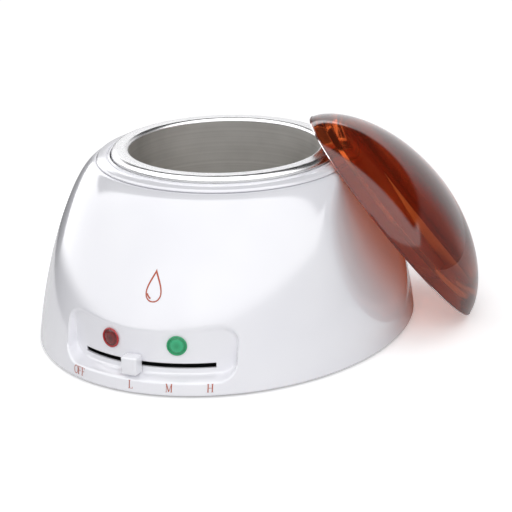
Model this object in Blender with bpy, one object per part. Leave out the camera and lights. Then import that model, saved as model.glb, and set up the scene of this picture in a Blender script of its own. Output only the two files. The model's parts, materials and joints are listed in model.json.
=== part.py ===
"""Wax warmer with a lift-out pot, a loose amber lid and a sliding heat control.

Metres, +Z up, -Y is the front with the control panel, and +X is the user's right. The pieces
are laid out round the pot's axis, and all of them are moved at the end so that the origin is
on the table under the middle of the object's box.
"""
import math

import bmesh
import bpy
from mathutils import Euler, Matrix, Vector

MM = 0.001
GAP = 0.3 * MM                   # room kept between touching pieces

# ---- overall sizes ----
HEIGHT = 93.5 * MM               # table to the top of the pot's rim
BASE_HALF_WIDTH = 93.5 * MM      # the housing's foot, side to side
BASE_HALF_DEPTH = 112.8 * MM     # the housing's foot, front to back
SKIRT_LIFT = 1.2 * MM            # table to the housing's lower edge
HOUSING_WALL = 2.6 * MM

# ---- shoulder and collar ----
SHOULDER_DROP = 5.9 * MM         # pot rim to the housing's shoulder
SHOULDER_BEYOND_POT = 8.3 * MM   # pot rim's edge to the housing's shoulder
SHOULDER_THICK = 3.0 * MM
COLLAR_WALL = 1.7 * MM
COLLAR_RISE = 2.9 * MM           # shoulder to the collar's inner lip
DOME_ACROSS_POWER = 1.7          # how full the dome's shoulder is
DOME_DOWN_POWER = 1.3            # how straight its wall runs down

# ---- side scoops, where the fingers lift the warmer ----
SCOOP_RADIUS = 274.0 * MM
SCOOP_CENTRE_OUT = BASE_HALF_WIDTH + 243.9 * MM
SCOOP_CENTRE_UP = HEIGHT + 42.5 * MM

# ---- pot ----
POT_RIM_RADIUS = 57.5 * MM
POT_BEAD = 8.8 * MM              # rolled edge, across
POT_SHEET = 1.3 * MM
POT_DEPTH = 60.0 * MM
RIM_BEAD_RISE = 6.4 * MM         # rolled edge, top to bottom
POT_SIDE_ROOM = 0.9 * MM         # pot to well
POT_TO_COLLAR = 0.7 * MM

# ---- heating well ----
WELL_SHEET = 1.5 * MM
WELL_FLANGE_DROP = 0.3 * MM      # below the shoulder
BAND_THICK = 2.0 * MM
BAND_RISE = 32.0 * MM
BAND_UP = 8.0 * MM               # above the well's underside
BAND_SPLIT_DEG = 9.0
SLEEVE_THICK = 4.5 * MM
SLEEVE_SPLIT_DEG = 40.0

# ---- control panel ----
PANEL_HALF_WIDTH = 43.5 * MM
PANEL_BOTTOM = 9.0 * MM
PANEL_TOP = 32.4 * MM
PANEL_CORNER = 7.0 * MM
PANEL_RADIUS = 66.5 * MM         # curved panel about the control's upright axis
PANEL_SET_BACK = 7.3 * MM        # the panel's middle behind the housing's foot
SLOT_HALF_DEG = 31.0
SLOT_RISE = 2.6 * MM
SLOT_HEIGHT = 13.9 * MM          # table to the middle of the slot
LENS_RADIUS = 5.0 * MM
LENS_BARREL = 4.4 * MM
LENS_LENGTH = 5.0 * MM
LENS_HEIGHT = 24.3 * MM
LENS_DEG = 15.0

# ---- slider ----
SLIDER_REST_DEG = -3.5           # low heat, from straight ahead
LEVER_WIDTH = 4.6 * MM
LEVER_THICK = 1.5 * MM
KNOB_WIDTH = 8.8 * MM
KNOB_HEIGHT = 9.5 * MM
KNOB_UP = 0.3 * MM               # its middle above the lever
KNOB_DEPTH = 6.5 * MM
KNOB_ROUND = 1.4 * MM
SHAFT_RADIUS = 2.2 * MM

# ---- lid ----
LID_BEYOND_POT = 7.5 * MM        # pot rim's edge to the lid's edge
LID_RISE = 32.8 * MM
LID_WALL = 2.4 * MM
LID_POWER = 0.645
LID_SKIRT = 6.0 * MM             # inner step above the rim
LID_STEP_IN = 9.5 * MM           # the step sits on the pot's bead when the lid is closed
LID_TURN_DEG = 115.0             # way its crown faces as it leans, from the front toward +X
LID_SPOT_DEG = 116.0             # where the middle of its rim stands, the same way round
LID_LEAN_OVER = 8.5 * MM         # its highest edge above the pot's rim
LID_LEAN_ROOM = 0.45 * MM        # room to the housing it leans on

# ---- underside ----
FOOT_RADIUS = 7.5 * MM
FOOT_RISE = 4.0 * MM
BASE_PLATE = 2.2 * MM
BASE_PLATE_ROOM = 1.3 * MM
VENT_REACH = 22.0 * MM
VENT_WIDTH = 3.0 * MM
VENT_PITCH = 9.0 * MM
VENT_MIDDLE = 16.0 * MM          # the vents' middle row, behind the middle
POST_IN_SIDE = 33.5 * MM         # foot edge to post, side to side
POST_IN_DEPTH = 50.8 * MM        # and front to back
POST_RADIUS = 4.5 * MM
SCREW_SHANK = 1.5 * MM
SCREW_HEAD = 3.0 * MM

# ---- mains entry ----
GLAND_HEIGHT = 17.0 * MM
GLAND_BARREL = 5.6 * MM
GLAND_FLANGE = 8.0 * MM
GLAND_BORE = 3.4 * MM
GLAND_FACE_IN = 4.4 * MM         # its flange's flat spot, ahead of the housing's foot
LEAD_RADIUS = 1.0 * MM
TERMINAL_IN = 46.8 * MM          # terminal block's middle, ahead of the housing's foot
TERMINAL_HALF_WIDTH = 15.0 * MM
TERMINAL_HALF_DEPTH = 8.0 * MM
TERMINAL_RISE = 11.0 * MM
TERMINAL_PITCH = 9.0 * MM
FUSE_RADIUS = 2.0 * MM
FUSE_SIDE = 24.0 * MM
FUSE_BACK = 14.0 * MM
FUSE_CLIP_SHEET = 0.7 * MM

# ---- heights that follow ----
SHOULDER_Z = HEIGHT - SHOULDER_DROP
SHOULDER_RADIUS = POT_RIM_RADIUS + SHOULDER_BEYOND_POT
POT_INNER_RADIUS = POT_RIM_RADIUS - POT_BEAD
LID_RADIUS = POT_RIM_RADIUS + LID_BEYOND_POT
LID_STEP_RADIUS = LID_RADIUS - LID_STEP_IN
PIVOT_FORWARD = BASE_HALF_DEPTH - PANEL_RADIUS - PANEL_SET_BACK
POST_X = BASE_HALF_WIDTH - POST_IN_SIDE
POST_Y = BASE_HALF_DEPTH - POST_IN_DEPTH
SHOULDER_UNDER = SHOULDER_Z - SHOULDER_THICK
COLLAR_OUTER = SHOULDER_RADIUS - 0.6 * MM
COLLAR_INNER = POT_RIM_RADIUS + POT_TO_COLLAR
COLLAR_TOP = SHOULDER_Z + COLLAR_RISE
OPENING_RADIUS = COLLAR_INNER + COLLAR_WALL + 0.5 * MM
POT_OUTER = POT_INNER_RADIUS + POT_SHEET
POT_FLOOR = HEIGHT - POT_DEPTH
POT_UNDER = POT_FLOOR - POT_SHEET
WELL_INNER = POT_OUTER + POT_SIDE_ROOM
WELL_OUTER = WELL_INNER + WELL_SHEET
WELL_UNDER = POT_UNDER - GAP - WELL_SHEET
FLANGE_TOP = SHOULDER_UNDER - WELL_FLANGE_DROP
FLANGE_RADIUS = SHOULDER_RADIUS - 1.6 * MM
WELL_SCREW_RING = (OPENING_RADIUS + SHOULDER_RADIUS) / 2
BAND_INNER = WELL_OUTER + 2 * GAP
BAND_OUTER = BAND_INNER + BAND_THICK
BAND_BOTTOM = WELL_UNDER + BAND_UP
SLEEVE_INNER = BAND_OUTER + 2 * GAP
SLEEVE_OUTER = SLEEVE_INNER + SLEEVE_THICK
PLATE_UNDER = FOOT_RISE + GAP
PLATE_TOP = PLATE_UNDER + BASE_PLATE
LEVER_Z = SLOT_HEIGHT
BRACKET_UNDER = LEVER_Z + 4.5 * MM
THERMOSTAT_UNDER = BRACKET_UNDER + 1.0 * MM + GAP
THERMOSTAT_TOP = WELL_UNDER - GAP
PIVOT = Vector((0.0, -PIVOT_FORWARD, 0.0))
TERMINAL = Vector((0.0, BASE_HALF_DEPTH - TERMINAL_IN, PLATE_TOP))
UNDER_WELL = Vector((0.0, 0.0, WELL_UNDER))
FUSE_SPOT = Vector((FUSE_SIDE, FUSE_BACK, WELL_UNDER - GAP - 1.3 * MM - FUSE_RADIUS))
GLAND_FACE = BASE_HALF_DEPTH - GLAND_FACE_IN

# colour, roughness, metallic
FINISHES = {
    "white_plastic": ((0.83, 0.83, 0.86), 0.18, 0.0),
    "pot_aluminium": ((0.62, 0.61, 0.60), 0.42, 1.0),
    "well_aluminium": ((0.55, 0.55, 0.56), 0.35, 1.0),
    "amber_plastic": ((0.16, 0.025, 0.008), 0.08, 0.0),
    "zinc_steel": ((0.50, 0.50, 0.49), 0.38, 1.0),
    "heater_mica": ((0.35, 0.24, 0.12), 0.60, 0.0),
    "glass_fibre": ((0.75, 0.72, 0.62), 0.95, 0.0),
    "black_phenolic": ((0.03, 0.03, 0.03), 0.50, 0.0),
    "grey_plastic": ((0.12, 0.12, 0.13), 0.55, 0.0),
    "rubber": ((0.025, 0.025, 0.025), 0.80, 0.0),
    "red_lens": ((0.45, 0.01, 0.01), 0.15, 0.0),
    "green_lens": ((0.01, 0.35, 0.12), 0.15, 0.0),
    "lamp_glass": ((0.80, 0.55, 0.35), 0.05, 0.0),
    "ceramic": ((0.85, 0.83, 0.78), 0.45, 0.0),
    "brass": ((0.60, 0.42, 0.15), 0.30, 1.0),
    "lead_white": ((0.80, 0.80, 0.78), 0.50, 0.0),
    "lead_brown": ((0.20, 0.07, 0.03), 0.50, 0.0),
    "lead_blue": ((0.03, 0.12, 0.45), 0.50, 0.0),
}


def clear_scene():
    """Start from nothing."""
    for item in list(bpy.data.objects):
        bpy.data.objects.remove(item, do_unlink=True)


def finish(name):
    """The material of one finish, made the first time it is asked for."""
    found = bpy.data.materials.get(name)
    if found:
        return found
    colour, roughness, metallic = FINISHES[name]
    made = bpy.data.materials.new(name)
    made.use_nodes = True
    shader = made.node_tree.nodes["Principled BSDF"]
    shader.inputs["Base Color"].default_value = (*colour, 1.0)
    shader.inputs["Roughness"].default_value = roughness
    shader.inputs["Metallic"].default_value = metallic
    made.diffuse_color = (*colour, 1.0)
    return made


def place(name, mesh, finish_name=None, parent=None, location=(0, 0, 0), rotation=(0, 0, 0)):
    """Put a mesh in the scene. With no finish it is a cutter and is left out of the object."""
    item = bpy.data.objects.new(name, mesh)
    bpy.context.scene.collection.objects.link(item)
    item.parent = parent
    item.location = location
    item.rotation_euler = rotation
    if finish_name:
        mesh.materials.append(finish(finish_name))
        mesh.shade_smooth()
        mesh.set_sharp_from_angle(angle=math.radians(35))
    else:
        item.hide_render = True
        item.display_type = "WIRE"
    return item


def mesh_from(shape, name):
    """Turn a bmesh into a mesh whose faces point out."""
    bmesh.ops.recalc_face_normals(shape, faces=shape.faces)
    mesh = bpy.data.meshes.new(name)
    shape.to_mesh(mesh)
    shape.free()
    return mesh


def skin_rings(shape, rings, closed):
    """Join rings of vertices with faces; a ring of one vertex is a pole."""
    pairs = list(zip(rings, rings[1:]))
    if closed:
        pairs.append((rings[-1], rings[0]))
    for one, two in pairs:
        count = max(len(one), len(two))
        for i in range(count):
            j = (i + 1) % count
            corners = []
            for vert in (one[i % len(one)], one[j % len(one)], two[j % len(two)], two[i % len(two)]):
                if vert not in corners:
                    corners.append(vert)
            shape.faces.new(corners)


def turned_mesh(name, profile, segments):
    """Turn (radius, height) points about Z. A profile that ends on the axis is closed there."""
    shape = bmesh.new()
    rings = []
    for radius, height in profile:
        if radius < 1e-7:
            rings.append([shape.verts.new((0, 0, height))])
            continue
        angles = [2 * math.pi * i / segments for i in range(segments)]
        spots = [(radius * math.cos(a), radius * math.sin(a), height) for a in angles]
        rings.append([shape.verts.new(spot) for spot in spots])
    skin_rings(shape, rings, closed=len(rings[0]) > 1)
    return mesh_from(shape, name)


def slab_mesh(name, outline, low, high):
    """Extrude a closed (x, y) outline from one height to another."""
    shape = bmesh.new()
    lower = [shape.verts.new((x, y, low)) for x, y in outline]
    upper = [shape.verts.new((x, y, high)) for x, y in outline]
    skin_rings(shape, [lower, upper], closed=False)
    shape.faces.new(list(reversed(lower)))
    shape.faces.new(upper)
    return mesh_from(shape, name)


def box_mesh(name, low, high, bevel=0.0):
    """A box between two corners, with its edges rounded by the bevel."""
    shape = bmesh.new()
    bmesh.ops.create_cube(shape, size=1.0)
    size = Vector(high) - Vector(low)
    middle = (Vector(high) + Vector(low)) / 2
    for vert in shape.verts:
        vert.co = Vector(a * b for a, b in zip(vert.co, size)) + middle
    if bevel:
        bmesh.ops.bevel(shape, geom=shape.edges[:], offset=bevel, segments=2, profile=0.5, affect="EDGES")
    return mesh_from(shape, name)


def rod_profile(radius, low, high):
    """A plain round rod, as a profile for turning."""
    return [(0, low), (radius, low), (radius, high), (0, high)]


def tube_profile(inner, outer, low, high):
    """A plain tube, as a profile for turning."""
    return [(inner, low), (outer, low), (outer, high), (inner, high)]


def nut_mesh(name, bore, corner, low, high):
    """A six-sided nut with a round bore; corner is its radius at the corners."""
    segments = 24
    shape = bmesh.new()
    rings = []
    for hexed, height in ((False, low), (True, low), (True, high), (False, high)):
        ring = []
        for i in range(segments):
            angle = 2 * math.pi * i / segments
            from_flat = angle % (math.pi / 3) - math.pi / 6
            radius = corner * math.cos(math.pi / 6) / math.cos(from_flat) if hexed else bore
            ring.append(shape.verts.new((radius * math.cos(angle), radius * math.sin(angle), height)))
        rings.append(ring)
    skin_rings(shape, rings, closed=True)
    return mesh_from(shape, name)


def cut(item, cutter):
    """Take the cutter away from the item."""
    step = item.modifiers.new(cutter.name, "BOOLEAN")
    step.operation = "DIFFERENCE"
    step.object = cutter


def arc(centre, radius, start_deg, end_deg, count):
    """Points along an arc, angles from -Y turning toward +X."""
    angles = [math.radians(start_deg + (end_deg - start_deg) * i / count) for i in range(count + 1)]
    return [(centre[0] + radius * math.sin(a), centre[1] - radius * math.cos(a)) for a in angles]


# ------------------------------------------------------------------ housing
def dome_ring(phase, inset):
    """Half width, half depth and height of the dome at a phase from 0 (shoulder) to 90 (foot)."""
    angle = math.radians(phase)
    spread = math.sin(angle) ** (2 / DOME_ACROSS_POWER)
    drop = 1 - max(math.cos(angle), 0.0) ** (2 / DOME_DOWN_POWER)
    top = SHOULDER_RADIUS - inset
    half_width = top + (BASE_HALF_WIDTH - SHOULDER_RADIUS) * spread
    half_depth = top + (BASE_HALF_DEPTH - SHOULDER_RADIUS) * spread
    height = SHOULDER_Z - (SHOULDER_Z - SKIRT_LIFT) * drop
    return half_width, half_depth, height


def dome_mesh(name, inset, top_drop, bottom_extra, segments, steps):
    """The dome as a solid: inset from the outside, its top lowered and its foot carried down."""
    shape = bmesh.new()
    rings = [[shape.verts.new((0, 0, SHOULDER_Z - top_drop))]]
    for i in range(steps + 1):
        half_width, half_depth, height = dome_ring(90 * i / steps, inset)
        height = min(height, SHOULDER_Z - top_drop) if i else SHOULDER_Z - top_drop
        if i == steps:
            height -= bottom_extra
        angles = [2 * math.pi * j / segments for j in range(segments)]
        spots = [(half_width * math.cos(a), half_depth * math.sin(a), height) for a in angles]
        rings.append([shape.verts.new(spot) for spot in spots])
    rings.append([shape.verts.new((0, 0, SKIRT_LIFT - bottom_extra))])
    skin_rings(shape, rings, closed=False)
    return mesh_from(shape, name)


def scoop_cutter(name, side, extra):
    """A solid beyond the scoop's long hollow curve, on one side of the housing."""
    radius = SCOOP_RADIUS + extra
    steps = 10
    low, high = -6 * MM, HEIGHT + 6 * MM
    heights = [low + (high - low) * i / steps for i in range(steps + 1)]
    curve = [(SCOOP_CENTRE_OUT - math.sqrt(radius ** 2 - (h - SCOOP_CENTRE_UP) ** 2), h) for h in heights]
    far = BASE_HALF_WIDTH * 1.4
    outline = curve + [(far, high), (far, low)]
    mesh = slab_mesh(name, outline, -BASE_HALF_DEPTH * 0.7, BASE_HALF_DEPTH * 0.7)
    turn = Matrix.Rotation(math.radians(90), 4, "X")
    mesh.transform(turn)
    if side < 0:
        mesh.transform(Matrix.Rotation(math.pi, 4, "Z"))
    return place(name, mesh)


def panel_cutter(name, extra):
    """The space of the recessed panel: a rounded block in front of an upright curved wall."""
    corner = PANEL_CORNER + extra
    half = PANEL_HALF_WIDTH + extra
    low, high = PANEL_BOTTOM - extra, PANEL_TOP + extra
    outline = []
    for x, z, start in ((half, low, -90), (half, high, 0), (-half, high, 90), (-half, low, 180)):
        cx = x - math.copysign(corner, x)
        cz = z + corner if z == low else z - corner
        for i in range(5):
            a = math.radians(start + 90 * i / 4)
            outline.append((cx + corner * math.cos(a), cz + corner * math.sin(a)))
    near = BASE_HALF_DEPTH * 1.15
    mesh = slab_mesh(name, outline, PIVOT_FORWARD, near)
    mesh.transform(Matrix.Rotation(math.radians(90), 4, "X"))
    block = place(name, mesh)
    drum = turned_mesh(name + "_drum", rod_profile(PANEL_RADIUS - extra, low - 10 * MM, high + 10 * MM), 60)
    drum.transform(Matrix.Translation(PIVOT) @ Matrix.Rotation(math.radians(1.3), 4, "Z"))
    cut(block, place(name + "_drum", drum))
    return block


def slot_cutter():
    """The curved slot that the lever moves along."""
    inner = arc(PIVOT, PANEL_RADIUS - 3 * HOUSING_WALL, -SLOT_HALF_DEG, SLOT_HALF_DEG, 12)
    outer = arc(PIVOT, PANEL_RADIUS + 3 * HOUSING_WALL, -SLOT_HALF_DEG, SLOT_HALF_DEG, 12)
    low, high = SLOT_HEIGHT - SLOT_RISE / 2, SLOT_HEIGHT + SLOT_RISE / 2
    return place("slot_cutter", slab_mesh("slot_cutter", outer + inner[::-1], low, high))


def round_cutter(name, radius, low, high, segments, location=(0, 0, 0), rotation=(0, 0, 0)):
    """A round cutter along its own Z."""
    mesh = turned_mesh(name, rod_profile(radius, low, high), segments)
    mesh.transform(Matrix.Translation(location) @ Euler(rotation).to_matrix().to_4x4())
    return place(name, mesh)


def lens_frame(side):
    """Place of an indicator: its axis runs out through the panel, square to the curve."""
    angle = math.radians(LENS_DEG * side)
    out = Vector((math.sin(angle), -math.cos(angle), 0))
    origin = PIVOT + out * PANEL_RADIUS + Vector((0, 0, LENS_HEIGHT))
    return origin, (math.radians(90), 0, angle)


def post_spots():
    """The four screw posts, seen from above."""
    return [(x, y) for y in (-POST_Y, POST_Y) for x in (-POST_X, POST_X)]


def well_screw_spots():
    """The four screws that hold the well under the shoulder."""
    return arc((0, 0), WELL_SCREW_RING, 45, 315, 3)


def housing_shell():
    """White moulded dome with its scoops, panel, posts and holes."""
    shell = place("housing_shell", dome_mesh("housing_shell", 0, 0, 0, 64, 12), "white_plastic")
    cavity_mesh = dome_mesh("cavity", HOUSING_WALL, SHOULDER_THICK, 5 * MM, 44, 8)
    cavity = place("cavity", cavity_mesh)
    for side, word in ((1, "right"), (-1, "left")):
        cut(shell, scoop_cutter("scoop_" + word, side, 0))
        cut(cavity, scoop_cutter("scoop_wall_" + word, side, HOUSING_WALL))
    cut(shell, panel_cutter("panel_space", 0))
    cut(cavity, panel_cutter("panel_wall", HOUSING_WALL - 0.2 * MM))
    for number, (x, y) in enumerate(post_spots(), 1):
        low = PLATE_TOP + GAP
        cut(cavity, round_cutter(f"post_{number}", POST_RADIUS, low, SHOULDER_Z, 16, (x, y, 0)))
    cut(shell, cavity)
    cut(shell, round_cutter("opening", OPENING_RADIUS, SHOULDER_UNDER - 5 * MM, HEIGHT, 44))
    for side, word in ((-1, "red"), (1, "green")):
        origin, turn = lens_frame(side)
        depth = 4 * HOUSING_WALL
        cut(shell, round_cutter(f"{word}_hole", LENS_BARREL + GAP, -depth, depth, 16, origin, turn))
    cut(shell, slot_cutter())
    for number, (x, y) in enumerate(post_spots(), 1):
        high = PLATE_TOP + 14 * MM
        cut(shell, round_cutter(f"post_hole_{number}", SCREW_SHANK + GAP, 0, high, 12, (x, y, 0)))
    for number, (x, y) in enumerate(well_screw_spots(), 1):
        low, high = SHOULDER_UNDER - 2 * MM, SHOULDER_Z + 2 * MM
        cut(shell, round_cutter(f"flange_hole_{number}", 1.3 * MM, low, high, 10, (x, y, 0)))
    back = (math.radians(-90), 0, 0)
    spot = (0, 0, GLAND_HEIGHT)
    deep, clear = GLAND_FACE - 20 * MM, GLAND_FACE + 20 * MM
    cut(shell, round_cutter("gland_flat", GLAND_FLANGE + GAP, GLAND_FACE, clear, 20, spot, back))
    cut(shell, round_cutter("gland_hole", GLAND_BARREL + GAP, deep, GLAND_FACE + 5 * MM, 16, spot, back))
    return shell


def collar_ring():
    """White trim ring: a crowned face, a fine groove and an inner lip round the pot."""
    seat = SHOULDER_Z + GAP
    groove = COLLAR_INNER + COLLAR_WALL
    profile = [
        (COLLAR_INNER, FLANGE_TOP + 2 * GAP), (groove, FLANGE_TOP + 2 * GAP), (groove, seat),
        (COLLAR_OUTER, seat), (COLLAR_OUTER, seat + 0.5 * MM),
        (COLLAR_OUTER - 0.5 * MM, seat + 1.0 * MM), (COLLAR_OUTER - 2.6 * MM, COLLAR_TOP - 0.9 * MM),
        (groove + 0.2 * MM, COLLAR_TOP - 0.5 * MM), (groove - 0.1 * MM, COLLAR_TOP - 1.0 * MM),
        (groove - 0.4 * MM, COLLAR_TOP - 0.3 * MM), (groove - 0.8 * MM, COLLAR_TOP),
        (COLLAR_INNER + 0.3 * MM, COLLAR_TOP - 0.1 * MM), (COLLAR_INNER, COLLAR_TOP - 0.6 * MM),
    ]
    place("collar_ring", turned_mesh("collar_ring", profile, 44), "white_plastic")


# ------------------------------------------------------------------ pot, well and lid
def wax_pot(parent):
    """Spun aluminium pot. Its edge rolls out and down, and the pot lifts straight up."""
    crest = POT_INNER_RADIUS + 0.55 * (POT_RIM_RADIUS - POT_INNER_RADIUS)
    fall = HEIGHT - RIM_BEAD_RISE
    inner, edge = POT_INNER_RADIUS, POT_RIM_RADIUS
    inside = [(0, POT_FLOOR), (inner - 4 * MM, POT_FLOOR), (inner - 1.2 * MM, POT_FLOOR + 1.2 * MM),
              (inner, POT_FLOOR + 4 * MM), (inner, HEIGHT - 4.2 * MM), (inner + 0.7 * MM, HEIGHT - 1.9 * MM),
              (inner + 2.4 * MM, HEIGHT - 0.5 * MM), (crest, HEIGHT), (crest + 1.8 * MM, HEIGHT - 0.4 * MM),
              (edge - 0.8 * MM, HEIGHT - 1.6 * MM), (edge, HEIGHT - 3.4 * MM),
              (edge - 0.4 * MM, fall + 1.2 * MM), (edge - 1.6 * MM, fall)]
    outside = [(edge - 2.3 * MM, fall + 1.1 * MM), (edge - 1.5 * MM, HEIGHT - 3.6 * MM),
               (crest + 0.6 * MM, HEIGHT - 1.7 * MM), (crest - 2.2 * MM, HEIGHT - 1.9 * MM),
               (POT_OUTER, HEIGHT - 4.4 * MM), (POT_OUTER, POT_FLOOR + 3 * MM),
               (POT_OUTER - 1.6 * MM, POT_UNDER + 1.2 * MM), (POT_OUTER - 5 * MM, POT_UNDER), (0, POT_UNDER)]
    place("wax_pot", turned_mesh("wax_pot", inside + outside, 44), "pot_aluminium", parent)


def well_cup():
    """Aluminium well that heats the pot. Its flange hangs under the housing's shoulder."""
    low = FLANGE_TOP - WELL_SHEET
    profile = [(0, WELL_UNDER + WELL_SHEET), (WELL_INNER, WELL_UNDER + WELL_SHEET), (WELL_INNER, FLANGE_TOP),
               (FLANGE_RADIUS, FLANGE_TOP), (FLANGE_RADIUS, low), (WELL_OUTER, low),
               (WELL_OUTER, WELL_UNDER), (0, WELL_UNDER)]
    well = place("well_cup", turned_mesh("well_cup", profile, 40), "well_aluminium")
    for number, (x, y) in enumerate(well_screw_spots(), 1):
        cut(well, round_cutter(f"well_hole_{number}", 1.3 * MM, low - MM, FLANGE_TOP + MM, 10, (x, y, 0)))


def well_screws():
    """Four small screws from below, through the well's flange into the shoulder."""
    under = FLANGE_TOP - WELL_SHEET - GAP
    profile = [(0, under - 1.2 * MM), (2.1 * MM, under - 1.2 * MM), (2.1 * MM, under),
               (1.0 * MM, under), (1.0 * MM, SHOULDER_Z - 0.6 * MM), (0, SHOULDER_Z - 0.6 * MM)]
    mesh = turned_mesh("well_screw", profile, 10)
    for number, (x, y) in enumerate(well_screw_spots(), 1):
        place(f"well_screw_{number}", mesh.copy(), "zinc_steel", location=(x, y, 0))


def lid_height(radius):
    """Height of the lid's outside above its rim."""
    share = min(radius / LID_RADIUS, 1.0)
    return LID_RISE * (1 - share ** 2) ** LID_POWER


def lid_profile():
    """Outside from the crown to the rim, then back up the stepped inside."""
    steps = 10
    outside = [(LID_RADIUS * math.sin(math.radians(90 * i / steps)), 0) for i in range(steps + 1)]
    outside = [(radius, lid_height(radius)) for radius, _ in outside]
    skirt = LID_RADIUS - LID_WALL
    inner_top = LID_RISE - LID_WALL
    inside = [(skirt, 0), (skirt, LID_SKIRT), (LID_STEP_RADIUS, LID_SKIRT)]
    for i in range(steps - 3, -1, -1):
        share = math.sin(math.radians(90 * i / (steps - 3)))
        radius = LID_STEP_RADIUS * share
        floor = lid_height(LID_STEP_RADIUS) - 1.6 * LID_WALL
        curve = (1 - share ** 2) ** 0.62
        inside.append((radius, floor + (inner_top - floor) * curve))
    return outside + inside


def inside_warmer(point):
    """Whether a point is inside the housing, collar or pot grown by the room the lid keeps."""
    across = math.hypot(point.x, point.y)
    drop = (SHOULDER_Z + LID_LEAN_ROOM - point.z) / (SHOULDER_Z - SKIRT_LIFT)
    if drop < 0:
        in_collar = point.z < COLLAR_TOP + LID_LEAN_ROOM and across < COLLAR_OUTER + LID_LEAN_ROOM
        in_pot = point.z < HEIGHT + LID_LEAN_ROOM and across < POT_RIM_RADIUS + LID_LEAN_ROOM
        return in_collar or in_pot
    if drop >= 1:
        return False
    phase = math.degrees(math.acos((1 - drop) ** (DOME_DOWN_POWER / 2)))
    half_width, half_depth, _ = dome_ring(phase, -LID_LEAN_ROOM)
    return math.hypot(point.x / half_width, point.y / half_depth) < 1


def lid_place(out):
    """Pose of the leaning lid with the middle of its rim this far from the pot's axis."""
    turn, spot = math.radians(LID_TURN_DEG), math.radians(LID_SPOT_DEG)
    upright = (HEIGHT + LID_LEAN_OVER) / (2 * LID_RADIUS)
    level = math.sqrt(1 - upright ** 2)
    axis = Vector((math.sin(turn) * upright, -math.cos(turn) * upright, level))
    middle = Vector((out * math.sin(spot), -out * math.cos(spot), GAP + LID_RADIUS * upright))
    return Matrix.Translation(middle) @ axis.to_track_quat("Z", "Y").to_matrix().to_4x4()


def lid_out():
    """The least distance out at which the leaning lid's rim clears the warmer."""
    skirt = LID_RADIUS - LID_WALL
    middle = (skirt + LID_STEP_RADIUS) / 2
    rings = [(LID_RADIUS, 0), (skirt, 0), (skirt, LID_SKIRT / 2), (skirt, LID_SKIRT), (middle, LID_SKIRT),
             (LID_STEP_RADIUS, LID_SKIRT)]
    turns = [math.radians(3 * i) for i in range(120)]
    points = [Vector((r * math.cos(a), r * math.sin(a), h)) for r, h in rings for a in turns]
    near, far = 0.0, 2 * BASE_HALF_DEPTH
    for _ in range(24):
        out = (near + far) / 2
        pose = lid_place(out)
        if any(inside_warmer(pose @ point) for point in points):
            near = out
        else:
            far = out
    return far


def lid(parent):
    """Amber lid, leaning with its edge on the table and its mouth over the shoulder."""
    pose = lid_place(lid_out())
    parent.location = pose.to_translation()
    item = place("lid", turned_mesh("lid", lid_profile(), 48), "amber_plastic", parent)
    item.rotation_euler = pose.to_euler()


# ------------------------------------------------------------------ heater
def split_ring(inner, outer, split_deg, centre_deg, lug, count):
    """Outline of a ring with a gap, its ends turned out as lugs where asked."""
    start, end = centre_deg + split_deg / 2, centre_deg + 360 - split_deg / 2
    if not lug:
        return arc((0, 0), outer, start, end, count) + arc((0, 0), inner, end, start, count)
    thick_deg = math.degrees((outer - inner) / outer)
    outline = arc((0, 0), inner, end, start, count)
    outline += arc((0, 0), outer + lug, start, start + thick_deg, 1)
    outline += arc((0, 0), outer, start + thick_deg, end - thick_deg, count)
    outline += arc((0, 0), outer + lug, end - thick_deg, end, 1)
    return outline


def heater():
    """Band heater round the well, drawn tight by a screw, and the fibre sleeve over it."""
    lug = 8.0 * MM
    outline = split_ring(BAND_INNER, BAND_OUTER, BAND_SPLIT_DEG, 180, lug, 36)
    mesh = slab_mesh("heater_band", outline, BAND_BOTTOM, BAND_BOTTOM + BAND_RISE)
    band = place("heater_band", mesh, "heater_mica")
    y = BAND_OUTER + lug * 0.55
    z = BAND_BOTTOM + BAND_RISE / 2
    along_x = (0, math.radians(90), 0)
    reach = BAND_OUTER * math.tan(math.radians(BAND_SPLIT_DEG / 2)) + 1.8 * BAND_THICK
    cut(band, round_cutter("lug_hole", 1.8 * MM, -2 * reach, 2 * reach, 12, (0, y, z), along_x))
    screw = [(0, -reach - 1.6 * MM), (3.0 * MM, -reach - 1.6 * MM), (3.0 * MM, -reach), (1.4 * MM, -reach),
             (1.4 * MM, reach + 3.6 * MM), (0, reach + 3.6 * MM)]
    mesh = turned_mesh("band_screw", screw, 12)
    place("band_screw", mesh, "zinc_steel", location=(0, y, z), rotation=along_x)
    nut = nut_mesh("band_nut", 1.4 * MM + GAP, 3.4 * MM, reach, reach + 2.2 * MM)
    place("band_nut", nut, "zinc_steel", location=(0, y, z), rotation=along_x)
    outline = split_ring(SLEEVE_INNER, SLEEVE_OUTER, SLEEVE_SPLIT_DEG, 180, 0, 20)
    low, high = BAND_BOTTOM - 2 * MM, BAND_BOTTOM + BAND_RISE + 2 * MM
    place("insulation_sleeve", slab_mesh("insulation_sleeve", outline, low, high), "glass_fibre")


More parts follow.
